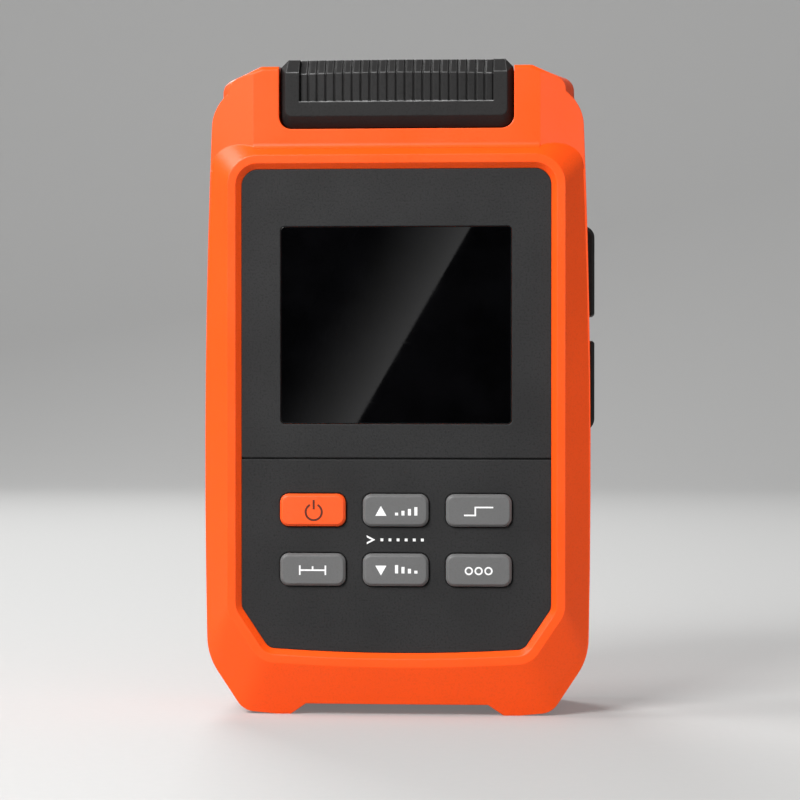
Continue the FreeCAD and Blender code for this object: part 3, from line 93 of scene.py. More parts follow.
class Canvas:
    """A node tree that is built a few nodes at a time."""

    tree: bpy.types.NodeTree

    def add(self, kind: str, **settings: object) -> bpy.types.Node:
        """Add a node of a kind.

        Args:
            kind: Blender's name for the node type.
            settings: properties of the node, by name.

        Returns:
            The new node.
        """
        node = self.tree.nodes.new(kind)
        for name, value in settings.items():
            setattr(node, name, value)
        return node

    def feed(self, socket: Socket, value: object) -> None:
        """Give a socket a constant, or link another socket to it."""
        if isinstance(value, Socket):
            self.tree.links.new(value, socket)
        else:
            socket.default_value = value

    def call(self, kind: str, inputs: dict[str, object], **settings: object) -> Socket:
        """Add a node, feed its inputs by name and give its first output."""
        node = self.add(kind, **settings)
        for name, value in inputs.items():
            self.feed(node.inputs[name], value)
        return node.outputs[0]

    def sum(self, operation: str, first: object, second: object = 0.0) -> Socket:
        """Work out a number from two others, each a constant or a socket."""
        node = self.add("ShaderNodeMath", operation=operation)
        self.feed(node.inputs[0], first)
        self.feed(node.inputs[1], second)
        return node.outputs[0]

    def seen(self) -> Socket:
        """Give 1 to the rays that show a thing, straight or by way of gloss or glass."""
        rays = self.add("ShaderNodeLightPath").outputs
        straight = self.sum("MAXIMUM", rays["Is Camera Ray"], rays["Is Glossy Ray"])
        return self.sum("MAXIMUM", straight, rays["Is Transmission Ray"])


class Graph(Canvas):
    """One material's node tree with a Principled surface."""

    def __init__(self, name: str) -> None:
        """Start a material called name."""
        self.material = bpy.data.materials.new(name)
        self.material.use_nodes = True
        self.tree = self.material.node_tree
        self.tree.nodes.clear()
        output = self.add("ShaderNodeOutputMaterial")
        self.surface = self.add("ShaderNodeBsdfPrincipled")
        self.feed(output.inputs["Surface"], self.surface.outputs["BSDF"])
        self.place = self.add("ShaderNodeTexCoord").outputs["Object"]

    def spread(self, value: object, span: Span = NOISE_SPAN, out: Span = (0.0, 1.0)) -> Socket:
        """Map value from one span to another, held at both ends."""
        node = self.add("ShaderNodeMapRange")
        for socket, given in zip(node.inputs, (value, *span, *out)):
            self.feed(socket, given)
        return node.outputs[0]

    def noise(self, size: float, detail: float = 3.0, stretch: Colour = (1.0, 1.0, 1.0)) -> Socket:
        """Make noise whose features are about size metres across, stretched along the axes."""
        place = self.call("ShaderNodeMapping", {
            "Vector": self.place, "Scale": tuple(1.0 / part for part in stretch)})
        return self.call("ShaderNodeTexNoise", {
            "Vector": place, "Scale": 1.0 / size, "Detail": detail})

    def cells(self, size: float, **settings: object) -> Socket:
        """Make the distances in cells about size metres across."""
        return self.call("ShaderNodeTexVoronoi", {"Vector": self.place, "Scale": 1.0 / size},
                         **settings)

    def mix(self, share: object, first: object, second: object) -> Socket:
        """Mix two colours, each a Colour or a socket."""
        node = self.add("ShaderNodeMix", data_type="RGBA")
        self.feed(node.inputs["Factor"], share)
        colours = [socket for socket in node.inputs if socket.type == "RGBA"]
        for socket, value in zip(colours, (first, second)):
            self.feed(socket, (*value, 1.0) if isinstance(value, tuple) else value)
        return next(socket for socket in node.outputs if socket.type == "RGBA")

    def edges(self, radius: float, sharp: float = 0.85) -> tuple[Socket, Socket]:
        """Find the edges of the piece.

        Args:
            radius: how far from an edge its rounding reaches, in metres.
            sharp: cosine of the turn at which an edge counts as fully sharp.

        Returns:
            The softened normal, and a mask that is 0 on faces and 1 on sharp edges.
        """
        soft = self.call("ShaderNodeBevel", {"Radius": radius}, samples=EDGE_SAMPLES)
        dot = self.add("ShaderNodeVectorMath", operation="DOT_PRODUCT")
        self.feed(dot.inputs[0], soft)
        self.feed(dot.inputs[1], self.add("ShaderNodeNewGeometry").outputs["Normal"])
        return soft, self.spread(dot.outputs["Value"], (1.0, sharp))

    def facing(self, normal: object) -> tuple[Socket, Socket]:
        """Give how far a normal faces sideways, and how far up, in the piece's own frame."""
        turned = self.call("ShaderNodeVectorTransform", {"Vector": normal}, vector_type="NORMAL",
                           convert_from="WORLD", convert_to="OBJECT")
        return self.sum("ABSOLUTE", self.part(turned, "X")), self.part(turned, "Z")

    def part(self, vector: object, axis: str) -> Socket:
        """Give one part of a vector."""
        split = self.add("ShaderNodeSeparateXYZ")
        self.feed(split.inputs[0], vector)
        return split.outputs[axis]

    def bump(self, height: object, distance: float, normal: object) -> Socket:
        """Raise the surface by height times distance, over a given normal."""
        return self.call("ShaderNodeBump", {
            "Distance": distance, "Height": height, "Normal": normal})

    def finish(self, **inputs: object) -> bpy.types.Material:
        """Feed the Principled surface's inputs, named with _ for a space.

        Returns:
            The finished material.
        """
        for name, value in inputs.items():
            socket = self.surface.inputs[name.replace("_", " ")]
            self.feed(socket, (*value, 1.0) if isinstance(value, tuple) else value)
        return self.material


def put(name: str, data: bpy.types.ID) -> bpy.types.Object:
    """Put an object made of data in the scene."""
    thing = bpy.data.objects.new(name, data)
    bpy.context.scene.collection.objects.link(thing)
    return thing


def scaled(colour: Colour, factor: float) -> Colour:
    """Make a colour darker or lighter by a factor, at most white."""
    return tuple(min(1.0, part * factor) for part in colour)


@dataclass(frozen=True)
class Finish:
    """A surface finish. Colours are in linear light and lengths in metres."""

    label: str
    slot: Slot
    colour: Colour
    built: ClassVar[dict[str, bpy.types.Material]] = {}

    def material(self) -> bpy.types.Material:
        """Give the Blender material, made at its first use."""
        if self.label not in self.built:
            self.built[self.label] = self.build()
        return self.built[self.label]

    def build(self) -> bpy.types.Material:
        """Make the material."""
        raise NotImplementedError


@dataclass(frozen=True)
class Moulded(Finish):
    """Moulded plastic or rubber with a fine spark-eroded grain and slightly rubbed edges. Where
    only up-facing edges keep the lighter edge colour, that colour is a painted highlight.
    """

    # lighter colour of rubbed edges, which is a painted highlight where only up-facing edges keep
    # it
    rubbed_and_highlight: Colour = (1.0, 0.2, 0.05)
    roughness: float = 0.4
    grain_roughness: float = 0.06
    cloud_roughness: float = 0.05
    shine: float = 0.35
    grain: float = 0.35 * MM
    grain_height: float = 0.008 * MM
    speck_span: Span = (0.35, 0.5)
    speck_share: float = 0.7
    cloud: float = 14 * MM
    cloud_span: Span = (0.35, 0.65)
    mottling: float = 0.1
    cloud_share: float = 1 / 3
    speck_depth: float = 2.0
    wear_and_highlight_share: float = 0.25
    wear_patch: float = 3 * MM
    wear_span: Span = (0.35, 0.7)
    least_wear: float = 0.3
    polish: float = 0.15
    edge: float = 0.3 * MM
    sharp: float = 0.85
    # True keeps the lighter edge colour on up-facing edges only, as a painted highlight rather than
    # wear
    top_highlight_only: bool = False
    side_span: Span = (0.1, 0.4)
    up_span: Span = (0.05, 0.3)

    def build(self) -> bpy.types.Material:
        """Make the material."""
        graph = Graph(self.label)
        normal, edge = graph.edges(self.edge, self.sharp)
        clouds = graph.noise(self.cloud)
        grain = graph.noise(self.grain, FINE_DETAIL)
        drift = self.mottling * self.cloud_share
        shade = graph.mix(graph.spread(clouds, self.cloud_span), scaled(self.colour, 1 - drift),
                          scaled(self.colour, 1 + drift))
        specks = graph.spread(grain, self.speck_span, (self.speck_share, 0.0))
        speck = scaled(self.colour, 1 - self.mottling * self.speck_depth)
        speckled = graph.mix(specks, shade, speck)
        patches = graph.spread(graph.noise(self.wear_patch), self.wear_span, (self.least_wear, 1.0))
        wear_and_highlight = graph.sum("MULTIPLY", edge, patches)
        # painted highlight: keep the lighter edge colour only on edges that face up, where a lamp
        # from above would catch them
        if self.top_highlight_only:
            side, up = graph.facing(normal)
            wear_and_highlight = graph.sum("MULTIPLY", wear_and_highlight, graph.spread(side, self.side_span, (1.0, 0.0)))
            wear_and_highlight = graph.sum("MULTIPLY", wear_and_highlight, graph.spread(up, self.up_span))
        rough = graph.sum(
            "ADD", graph.spread(clouds, out=(-self.cloud_roughness, self.cloud_roughness)),
            graph.spread(grain, out=(self.roughness - self.grain_roughness,
                                     self.roughness + self.grain_roughness)))
        # the edge colour is rubbed wear, and where it is kept to up-facing edges it is a painted
        # highlight
        return graph.finish(
            Base_Color=graph.mix(graph.sum("MULTIPLY", wear_and_highlight, self.wear_and_highlight_share), speckled, self.rubbed_and_highlight),
            Roughness=graph.sum("SUBTRACT", rough, graph.sum("MULTIPLY", wear_and_highlight, self.polish)),
            Specular_IOR_Level=self.shine,
            Normal=graph.bump(grain, self.grain_height, normal))


@dataclass(frozen=True)
class Metal(Finish):
    """Plated or turned metal with fine tool marks."""

    roughness: float = 0.28
    smoother: float = 0.08
    rougher: float = 0.1
    stretch: Colour = (1.0, 1.0, 12.0)
    mark: float = 0.12 * MM
    mark_height: float = 0.004 * MM
    tarnish: Colour = (0.3, 0.28, 0.25)
    stain: float = 4 * MM
    stain_span: Span = (0.45, 0.75)
    stain_share: float = 0.3
    stain_roughness: float = 0.15
    edge: float = 0.1 * MM
    edge_gain: float = 1.15
    edge_share: float = 0.6

    def build(self) -> bpy.types.Material:
        """Make the material."""
        graph = Graph(self.label)
        normal, edge = graph.edges(self.edge)
        marks = graph.noise(self.mark, stretch=self.stretch)
        stains = graph.spread(graph.noise(self.stain, FINEST_DETAIL), self.stain_span,
                              (0.0, self.stain_share))
        shade = graph.mix(stains, self.colour, self.tarnish)
        rough = graph.spread(marks, out=(self.roughness - self.smoother,
                                         self.roughness + self.rougher))
        return graph.finish(
            Base_Color=graph.mix(graph.sum("MULTIPLY", edge, self.edge_share), shade,
                                 scaled(self.colour, self.edge_gain)),
            Metallic=1.0,
            Roughness=graph.sum("ADD", rough, graph.sum("MULTIPLY", stains, self.stain_roughness)),
            Normal=graph.bump(marks, self.mark_height, normal))


@dataclass(frozen=True)
class DarkGlass(Finish):
    """Glossy smoked window with faint smudges and hairline scratches."""

    roughness: float = 0.012
    smudge_roughness: float = 0.01
    scratch_roughness: float = 0.02
    shine: float = 0.32
    smudge: float = 9 * MM
    shade_span: Span = (0.4, 0.65)
    smudge_span: Span = (0.4, 0.7)
    smudge_shade: float = 0.5
    scratch: float = 0.2 * MM
    stretch: Colour = (30.0, 1.0, 2.0)
    scratch_span: Span = (0.6, 0.75)
    scratch_height: float = 0.0001 * MM
    edge: float = 0.2 * MM
    edge_gain: float = 4.0
    edge_share: float = 0.5

    def build(self) -> bpy.types.Material:
        """Make the material."""
        graph = Graph(self.label)
        normal, edge = graph.edges(self.edge)
        smudges = graph.noise(self.smudge, FINE_DETAIL)
        scratches = graph.noise(self.scratch, stretch=self.stretch)
        shade = graph.mix(graph.spread(smudges, self.shade_span),
                          scaled(self.colour, self.smudge_shade), self.colour)
        rough = graph.spread(smudges, self.smudge_span,
                             (self.roughness, self.roughness + self.smudge_roughness))
        lines = graph.spread(scratches, self.scratch_span, (0.0, self.scratch_roughness))
        return graph.finish(
            Specular_IOR_Level=self.shine,
            Base_Color=graph.mix(graph.sum("MULTIPLY", edge, self.edge_share), shade,
                                 scaled(self.colour, self.edge_gain)),
            Roughness=graph.sum("ADD", rough, lines),
            Normal=graph.bump(scratches, self.scratch_height, normal))


@dataclass(frozen=True)
class Laminate(Finish):
    """Lacquered circuit board with a pattern of tracks and pads under the lacquer."""

    track: Colour = (0.05, 0.2, 0.06)
    track_pitch: float = 4.5 * MM
    track_span: Span = (0.05, 0.07)
    pad: Colour = (0.6, 0.5, 0.25)
    pad_pitch: float = 5.0 * MM
    pad_span: Span = (0.1, 0.12)
    weave: float = 0.6 * MM
    height: float = 0.01 * MM
    gloss: Span = (0.22, 0.38)
    edge: float = 0.1 * MM
    edge_gain: float = 1.8
    edge_share: float = 0.7

    def build(self) -> bpy.types.Material:
        """Make the material."""
        graph = Graph(self.label)
        normal, edge = graph.edges(self.edge)
        lines = graph.cells(self.track_pitch, distance="MANHATTAN", feature="DISTANCE_TO_EDGE")
        tracks = graph.spread(lines, self.track_span, (1.0, 0.0))
        pads = graph.spread(graph.cells(self.pad_pitch), self.pad_span, (1.0, 0.0))
        weave = graph.noise(self.weave)
        shade = graph.mix(pads, graph.mix(tracks, self.colour, self.track), self.pad)
        return graph.finish(
            Base_Color=graph.mix(graph.sum("MULTIPLY", edge, self.edge_share), shade,
                                 scaled(self.colour, self.edge_gain)),
            Roughness=graph.spread(weave, out=self.gloss),
            Normal=graph.bump(graph.sum("ADD", tracks, weave), self.height, normal))


@dataclass(frozen=True)
class CellWrap(Finish):
    """Plain sleeve of a cell: grey-green with a pale band at one end, and bright metal ends."""

    band: Colour = (0.5, 0.5, 0.48)
    band_height: float = 58 * MM
    band_edge: float = 0.1 * MM
    metal: Colour = (0.7, 0.7, 0.68)
    end_span: Span = (0.6, 0.8)
    scuff: float = 1.5 * MM
    stretch: Colour = (1.0, 1.0, 4.0)
    scuff_span: Span = (0.6, 0.8)
    scuff_share: float = 0.25
    scuff_colour: Colour = (0.3, 0.3, 0.3)
    scuff_height: float = 0.01 * MM
    gloss: Span = (0.25, 0.4)
    edge: float = 0.2 * MM

    def build(self) -> bpy.types.Material:
        """Make the material."""
        graph = Graph(self.label)
        normal, _ = graph.edges(self.edge)
        banded = graph.spread(graph.part(graph.place, "Z"),
                              (self.band_height, self.band_height + self.band_edge))
        outward = graph.add("ShaderNodeNewGeometry").outputs["Normal"]
        ends = graph.spread(graph.sum("ABSOLUTE", graph.part(outward, "Z")), self.end_span)
        scuffs = graph.noise(self.scuff, FINEST_DETAIL, self.stretch)
        sleeve = graph.mix(banded, self.colour, self.band)
        scuffed = graph.mix(graph.spread(scuffs, self.scuff_span, (0.0, self.scuff_share)), sleeve,
                            self.scuff_colour)
        return graph.finish(
            Base_Color=graph.mix(ends, scuffed, self.metal),
            Metallic=ends,
            Roughness=graph.spread(scuffs, out=self.gloss),
            Normal=graph.bump(scuffs, self.scuff_height, normal))


@dataclass(frozen=True)
class Finishes:
    """Every finish of the meter."""

    shell: Finish = Moulded("shell_orange", Slot.SHELL, (0.95, 0.08, 0.002),
                            rubbed_and_highlight=(1.0, 0.2, 0.04), mottling=0.045)
    door: Finish = Moulded("door_orange_finish", Slot.DOOR, (0.92, 0.076, 0.002),
                           rubbed_and_highlight=(1.0, 0.2, 0.04), mottling=0.045)
    panel: Finish = Moulded("panel_dark_grey", Slot.PANEL, (0.022, 0.022, 0.0225),
                            rubbed_and_highlight=(0.08, 0.08, 0.08), roughness=0.5, shine=0.15, mottling=0.2,
                            grain_height=0.03 * MM)
    # the cover's pale grey edge colour, kept to up-facing edges, is a painted highlight along its
    # crease and rib ends
    cover: Finish = Moulded("cover_rubber", Slot.COVER, (0.018, 0.0175, 0.0175),
                            rubbed_and_highlight=(0.42, 0.42, 0.42), roughness=0.5, shine=0.15, mottling=0.18,
                            grain_height=0.014 * MM, wear_and_highlight_share=0.9, sharp=0.95, top_highlight_only=True)
    window: Finish = DarkGlass("smoked_window", Slot.WINDOW, (0.0015, 0.0015, 0.0018))
    display: Finish = DarkGlass("display_glass", Slot.DISPLAY, (0.03, 0.035, 0.03),
                                roughness=0.15)
    guide: Finish = Moulded("light_guide_white", Slot.LIGHT_GUIDE, (0.7, 0.7, 0.68),
                            rubbed_and_highlight=(0.8, 0.8, 0.8), mottling=0.04)
    key_orange: Finish = Moulded("key_silicone_orange", Slot.KEY_ORANGE, (0.93, 0.09, 0.012),
                                 rubbed_and_highlight=(1.0, 0.3, 0.12), roughness=0.42, mottling=0.05)
    key_grey: Finish = Moulded("key_silicone_grey", Slot.KEY_GREY, (0.12, 0.12, 0.12),
                               rubbed_and_highlight=(0.3, 0.3, 0.3), roughness=0.42, mottling=0.05)
    silicone: Finish = Moulded("mat_silicone", Slot.SILICONE, (0.2, 0.2, 0.2),
                               rubbed_and_highlight=(0.3, 0.3, 0.3), roughness=0.6)
    board: Finish = Laminate("board_green", Slot.BOARD, (0.01, 0.09, 0.03))
    tin: Finish = Metal("tin_sheet", Slot.TIN, (0.72, 0.71, 0.68), roughness=0.32)
    steel: Finish = Metal("steel_bright", Slot.STEEL, (0.58, 0.58, 0.57), stretch=(12.0, 1.0, 1.0))
    nickel: Finish = Metal("nickel_turned", Slot.NICKEL, (0.72, 0.69, 0.63), roughness=0.22)
    black: Finish = Moulded("black_insulator", Slot.BLACK, (0.012, 0.012, 0.012),
                            rubbed_and_highlight=(0.06, 0.06, 0.06))
    cell: Finish = CellWrap("cell_sleeve", Slot.CELL, (0.11, 0.15, 0.14))
    ink_white: Finish = Moulded("ink_white", Slot.KEY_GREY, (0.85, 0.85, 0.85),
                                rubbed_and_highlight=(0.7, 0.7, 0.7), mottling=0.05, wear_and_highlight_share=0.1, edge=0.02 * MM)
    ink_brown: Finish = Moulded("ink_brown", Slot.KEY_ORANGE, (0.1, 0.02, 0.008),
                                rubbed_and_highlight=(0.2, 0.05, 0.02), mottling=0.1, wear_and_highlight_share=0.1, edge=0.02 * MM)


class Growth(Canvas):
    """A Geometry Nodes tree with named sizes, grown once into a plain mesh."""

    def __init__(self, name: str) -> None:
        """Start a tree that takes points and gives geometry."""
        self.tree = bpy.data.node_groups.new(name, "GeometryNodeTree")
        for socket, flow in (("Points", "INPUT"), ("Geometry", "OUTPUT")):
            self.tree.interface.new_socket(socket, in_out=flow, socket_type="NodeSocketGeometry")
        self.entry = self.add("NodeGroupInput")
        self.given: dict[str, object] = {}

    def size(self, name: str, value: object, kind: str = "Float") -> Socket:
        """Add a named input with its value and give the socket that carries it."""
        item = self.tree.interface.new_socket(name, in_out="INPUT", socket_type=f"NodeSocket{kind}")
        self.given[item.identifier] = value
        return self.entry.outputs[name]

    def box(self, size: object, place: object = (0.0, 0.0, 0.0)) -> Socket:
        """Make a box of a size, centred on a place."""
        return self.moved(self.call("GeometryNodeMeshCube", {"Size": size}), place)

    def cylinder(self, radius: object, depth: object, place: object) -> Socket:
        """Make an upright cylinder round a place."""
        solid = self.call("GeometryNodeMeshCylinder", {
            "Vertices": ROUND_SIDES, "Radius": radius, "Depth": depth})
        return self.moved(solid, place)

    def moved(self, geometry: object, place: object) -> Socket:
        """Move geometry by a vector."""
        return self.call("GeometryNodeTransform", {"Geometry": geometry, "Translation": place})

    def vector(self, **parts: object) -> Socket:
        """Make a vector from its X, Y and Z, each 0 where it isn't given."""
        return self.call("ShaderNodeCombineXYZ", parts)

    def cut(self, geometry: object, *tools: object) -> Socket:
        """Cut tools away from geometry."""
        node = self.add("GeometryNodeMeshBoolean", operation="DIFFERENCE", solver="EXACT")
        self.feed(node.inputs["Mesh 1"], geometry)
        for tool in tools:
            self.feed(node.inputs["Mesh 2"], tool)
        return node.outputs[0]

    def joined(self, *parts: object) -> Socket:
        """Join parts into one geometry."""
        node = self.add("GeometryNodeJoinGeometry")
        for part in parts:
            self.feed(node.inputs[0], part)
        return node.outputs[0]

    def coil(self, turns: object, start: object, end: object, height: object, wire: object,
             sides: int) -> Socket:
        """Sweep a wire along a coil that rises from the origin.

        Args:
            turns: how many turns.
            start: radius of the coil at its foot.
            end: radius at its top.
            height: of the coil's middle line.
            wire: radius of the wire.
            sides: corners of the wire's section.

        Returns:
            The swept mesh.
        """
        line = self.call("GeometryNodeCurveSpiral", {
            "Resolution": TURN_STEPS, "Rotations": turns, "Start Radius": start, "End Radius": end,
            "Height": height})
        line = self.call("GeometryNodeSetCurveNormal", {"Curve": line}, mode="Z_UP")
        section = self.call("GeometryNodeCurvePrimitiveCircle", {
            "Resolution": sides, "Radius": wire})
        return self.call("GeometryNodeCurveToMesh", {
            "Curve": line, "Profile Curve": section, "Fill Caps": True})

    def on_points(self, geometry: object, turn: Colour = (0.0, 0.0, 0.0)) -> Socket:
        """Repeat geometry on every given point, turned by angles in radians."""
        return self.call("GeometryNodeInstanceOnPoints", {
            "Points": self.entry.outputs["Points"], "Instance": geometry, "Rotation": turn})

    def grow(self, geometry: object, finish: Finish, points: list[Vector]) -> bpy.types.Mesh:
        """Realize the geometry on points, in a finish.

        Args:
            geometry: the tree's last geometry.
            finish: its finish.
            points: where it is repeated.

        Returns:
            A plain mesh in the frame.
        """
        real = self.call("GeometryNodeRealizeInstances", {"Geometry": geometry})
        coat = self.size("Finish", finish.material(), "Material")
        dressed = self.call("GeometryNodeSetMaterial", {"Geometry": real, "Material": coat})
        self.feed(self.add("NodeGroupOutput").inputs[0], dressed)
        seeds = bpy.data.meshes.new(f"{self.tree.name}_points")
        seeds.from_pydata(points, [], [])
        host = put(self.tree.name, seeds)
        modifier = host.modifiers.new(self.tree.name, "NODES")
        modifier.node_group = self.tree
        for identifier, value in self.given.items():
            modifier[identifier] = value
        ready = host.evaluated_get(bpy.context.evaluated_depsgraph_get())
        mesh = bpy.data.meshes.new_from_object(ready)
        bpy.data.objects.remove(host)
        return mesh


def islands(node: str) -> list[tuple[Vector, Vector]]:
    """Give the lowest and highest corner of each separate solid of a CAD node."""
    solid = bmesh.new()
    solid.from_mesh(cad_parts[node].data)
    bmesh.ops.remove_doubles(solid, verts=solid.verts, dist=MERGE_DISTANCE)
    left, found = set(solid.verts), []
    while left:
        front, group = [left.pop()], []
        while front:
            vert = front.pop()
            group.append(vert.co.copy())
            for edge in vert.link_edges:
                other = edge.other_vert(vert)
                if other in left:
                    left.remove(other)
                    front.append(other)
        found.append(tuple(Vector([pick(co[axis] for co in group) for axis in range(3)])
                           for pick in (min, max)))
    solid.free()
    return sorted(found, key=lambda pair: (round(pair[0].z, ROW_DIGITS), pair[0].x))


def dress(finish: Finish, *nodes: str) -> None:
    """Give CAD nodes a finish."""
    for name in nodes:
        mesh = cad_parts[name].data
        mesh.materials.clear()
        mesh.materials.append(finish.material())
        LOG.info("%s dressed in %s", name, finish.label)


def add_piece(name: str, mesh: bpy.types.Mesh, finish: Finish, body: str) -> bpy.types.Object:
    """Put a finished mesh on a body.

    Args:
        name: name of the piece.
        mesh: its mesh, in place in the frame.
        finish: its finish.
        body: the CAD body that it rides on.

    Returns:
        The new object.
    """
    mesh.name = name
    mesh.materials.clear()
    mesh.materials.append(finish.material())
    piece = put(name, mesh)
    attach(piece, body)
    LOG.info("%s: %d faces on %s", name, len(mesh.polygons), body)
    return piece


@dataclass
class PrintedMark:
    """A thin printed mark on a face that looks towards -Y, drawn as flat shapes in millimetres."""

    name: str
    body: str
    finish: Finish
    centre: Point
    surface: float
    shapes: list[Iterable[Point]]
    sunk: float = 0.02 * MM
    proud: float = 0.02 * MM

    def build(self) -> bpy.types.Object:
        """Make the mark, one closed and thin block for each shape."""
        shaped = bmesh.new()
        across, up = self.centre
        for outline in self.shapes:
            corners = [shaped.verts.new((across + u * MM, self.surface + self.sunk, up + v * MM))
                       for u, v in outline]
            flat = shaped.faces.new(corners)
            grown = bmesh.ops.extrude_face_region(shaped, geom=[flat])
            moved = [item for item in grown["geom"] if isinstance(item, bmesh.types.BMVert)]
            bmesh.ops.translate(shaped, verts=moved, vec=(0, -(self.sunk + self.proud), 0))
        bmesh.ops.recalc_face_normals(shaped, faces=shaped.faces)
        mesh = bpy.data.meshes.new(self.name)
        shaped.to_mesh(mesh)
        shaped.free()
        return add_piece(self.name, mesh, self.finish, self.body)


def bar(width: float, height: float, u: float, v: float) -> list[Point]:
    """Draw an upright rectangle round (u, v)."""
    return [(u - width / 2, v - height / 2), (u + width / 2, v - height / 2),
            (u + width / 2, v + height / 2), (u - width / 2, v + height / 2)]


def triangle(size: Point, centre: Point, up: bool = True) -> list[Point]:
    """Draw a triangle round a centre that points up or down."""
    (width, height), (u, v) = size, centre
    tip = height / 2 if up else -height / 2
    return [(u - width / 2, v - tip), (u + width / 2, v - tip), (u, v + tip)]


def mirrored_outline(half: tuple[Point, ...]) -> list[Point]:
    """Close an outline from its right half, listed in order from the middle line to it."""
    return [*half, *((-u, v) for u, v in reversed(half))]


def arc_band(radius: float, line: float, arc: Span, steps: int, centre: Point) -> list[Point]:
    """Draw a bent band.

    Args:
        radius: of the band's middle line.
        line: width of the band.
        arc: where it starts and ends, in degrees from the +u axis.
        steps: how many straight runs it has.
        centre: of its bend.

    Returns:
        Its outline.
    """
    start, end = arc
    u, v = centre

    def spot(step: int, reach: float) -> Point:
        """Give a corner of the band."""
        angle = math.radians(start + (end - start) * step / steps)
        return u + reach * math.cos(angle), v + reach * math.sin(angle)

    inner, outer = radius - line / 2, radius + line / 2
    return ([spot(step, inner) for step in range(steps + 1)]
            + [spot(step, outer) for step in range(steps, -1, -1)])


@dataclass
class Housing:
    """The two orange shells, the battery door, the case screws and the hinge pin."""

    finishes: Finishes
    head_height: float = 1.6 * MM
    slot_width: float = 0.6 * MM
    slot_length: float = 2.6 * MM
    slot_depth: float = 1.0 * MM
    shank_radius: float = 0.8 * MM
    thread_pitch: float = 0.8 * MM
    thread_wire: float = 0.24 * MM
    thread_margin: float = 2.0
    thread_point: float = 0.75

    def build(self) -> None:
        """Dress the shells and turn the screws."""
        dress(self.finishes.shell, "front_case", "rear_case")
        dress(self.finishes.door, "battery_door")
        dress(self.finishes.steel, "cover_hinge_pin")
        self.build_screws()

    def build_screws(self) -> None:
        """Make the four screws, each with a cross recess and a thread, along +Y from their tips."""
        boxes = islands("case_screws")
        low, high = boxes[0]
        tips = [Vector(((one.x + two.x) / 2, one.y, (one.z + two.z) / 2)) for one, two in boxes]
        tree = Growth("case_screw_set")
        length = tree.size("Length", high.y - low.y)
        radius = tree.size("Head Radius", (high.x - low.x) / 2)
        height = tree.size("Head Height", self.head_height)
        width = tree.size("Slot Width", self.slot_width)
        reach = tree.size("Slot Length", self.slot_length)
        depth = tree.size("Slot Depth", self.slot_depth)
        shank = tree.size("Shank Radius", self.shank_radius)
        wire = tree.size("Thread Wire", self.thread_wire)
        under = tree.sum("SUBTRACT", length, height)
        middle = tree.vector(Z=tree.sum("ADD", under, tree.sum("MULTIPLY", height, 0.5)))
        head = tree.cylinder(radius, height, middle)
        deep = tree.sum("MULTIPLY", depth, 2.0)
        arms = [tree.box(tree.vector(X=x, Y=y, Z=deep), tree.vector(Z=length))
                 for x, y in ((width, reach), (reach, width))]
        core = tree.cylinder(shank, under, tree.vector(Z=tree.sum("MULTIPLY", under, 0.5)))
        margin = tree.sum("MULTIPLY", wire, self.thread_margin)
        run = tree.sum("SUBTRACT", under, tree.sum("MULTIPLY", margin, 2.0))
        turns = tree.sum("DIVIDE", run, tree.size("Thread Pitch", self.thread_pitch))
        point = tree.sum("MULTIPLY", shank, self.thread_point)
        thread = tree.coil(turns, point, shank, run, wire, THREAD_SIDES)
        lifted = tree.moved(thread, tree.vector(Z=margin))
        screw = tree.joined(tree.cut(head, *arms), core, lifted)
        mesh = tree.grow(tree.on_points(screw, (-math.pi / 2, 0.0, 0.0)), self.finishes.steel, tips)
        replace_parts(add_piece("case_screw_set", mesh, self.finishes.steel, "case"), "case_screws")


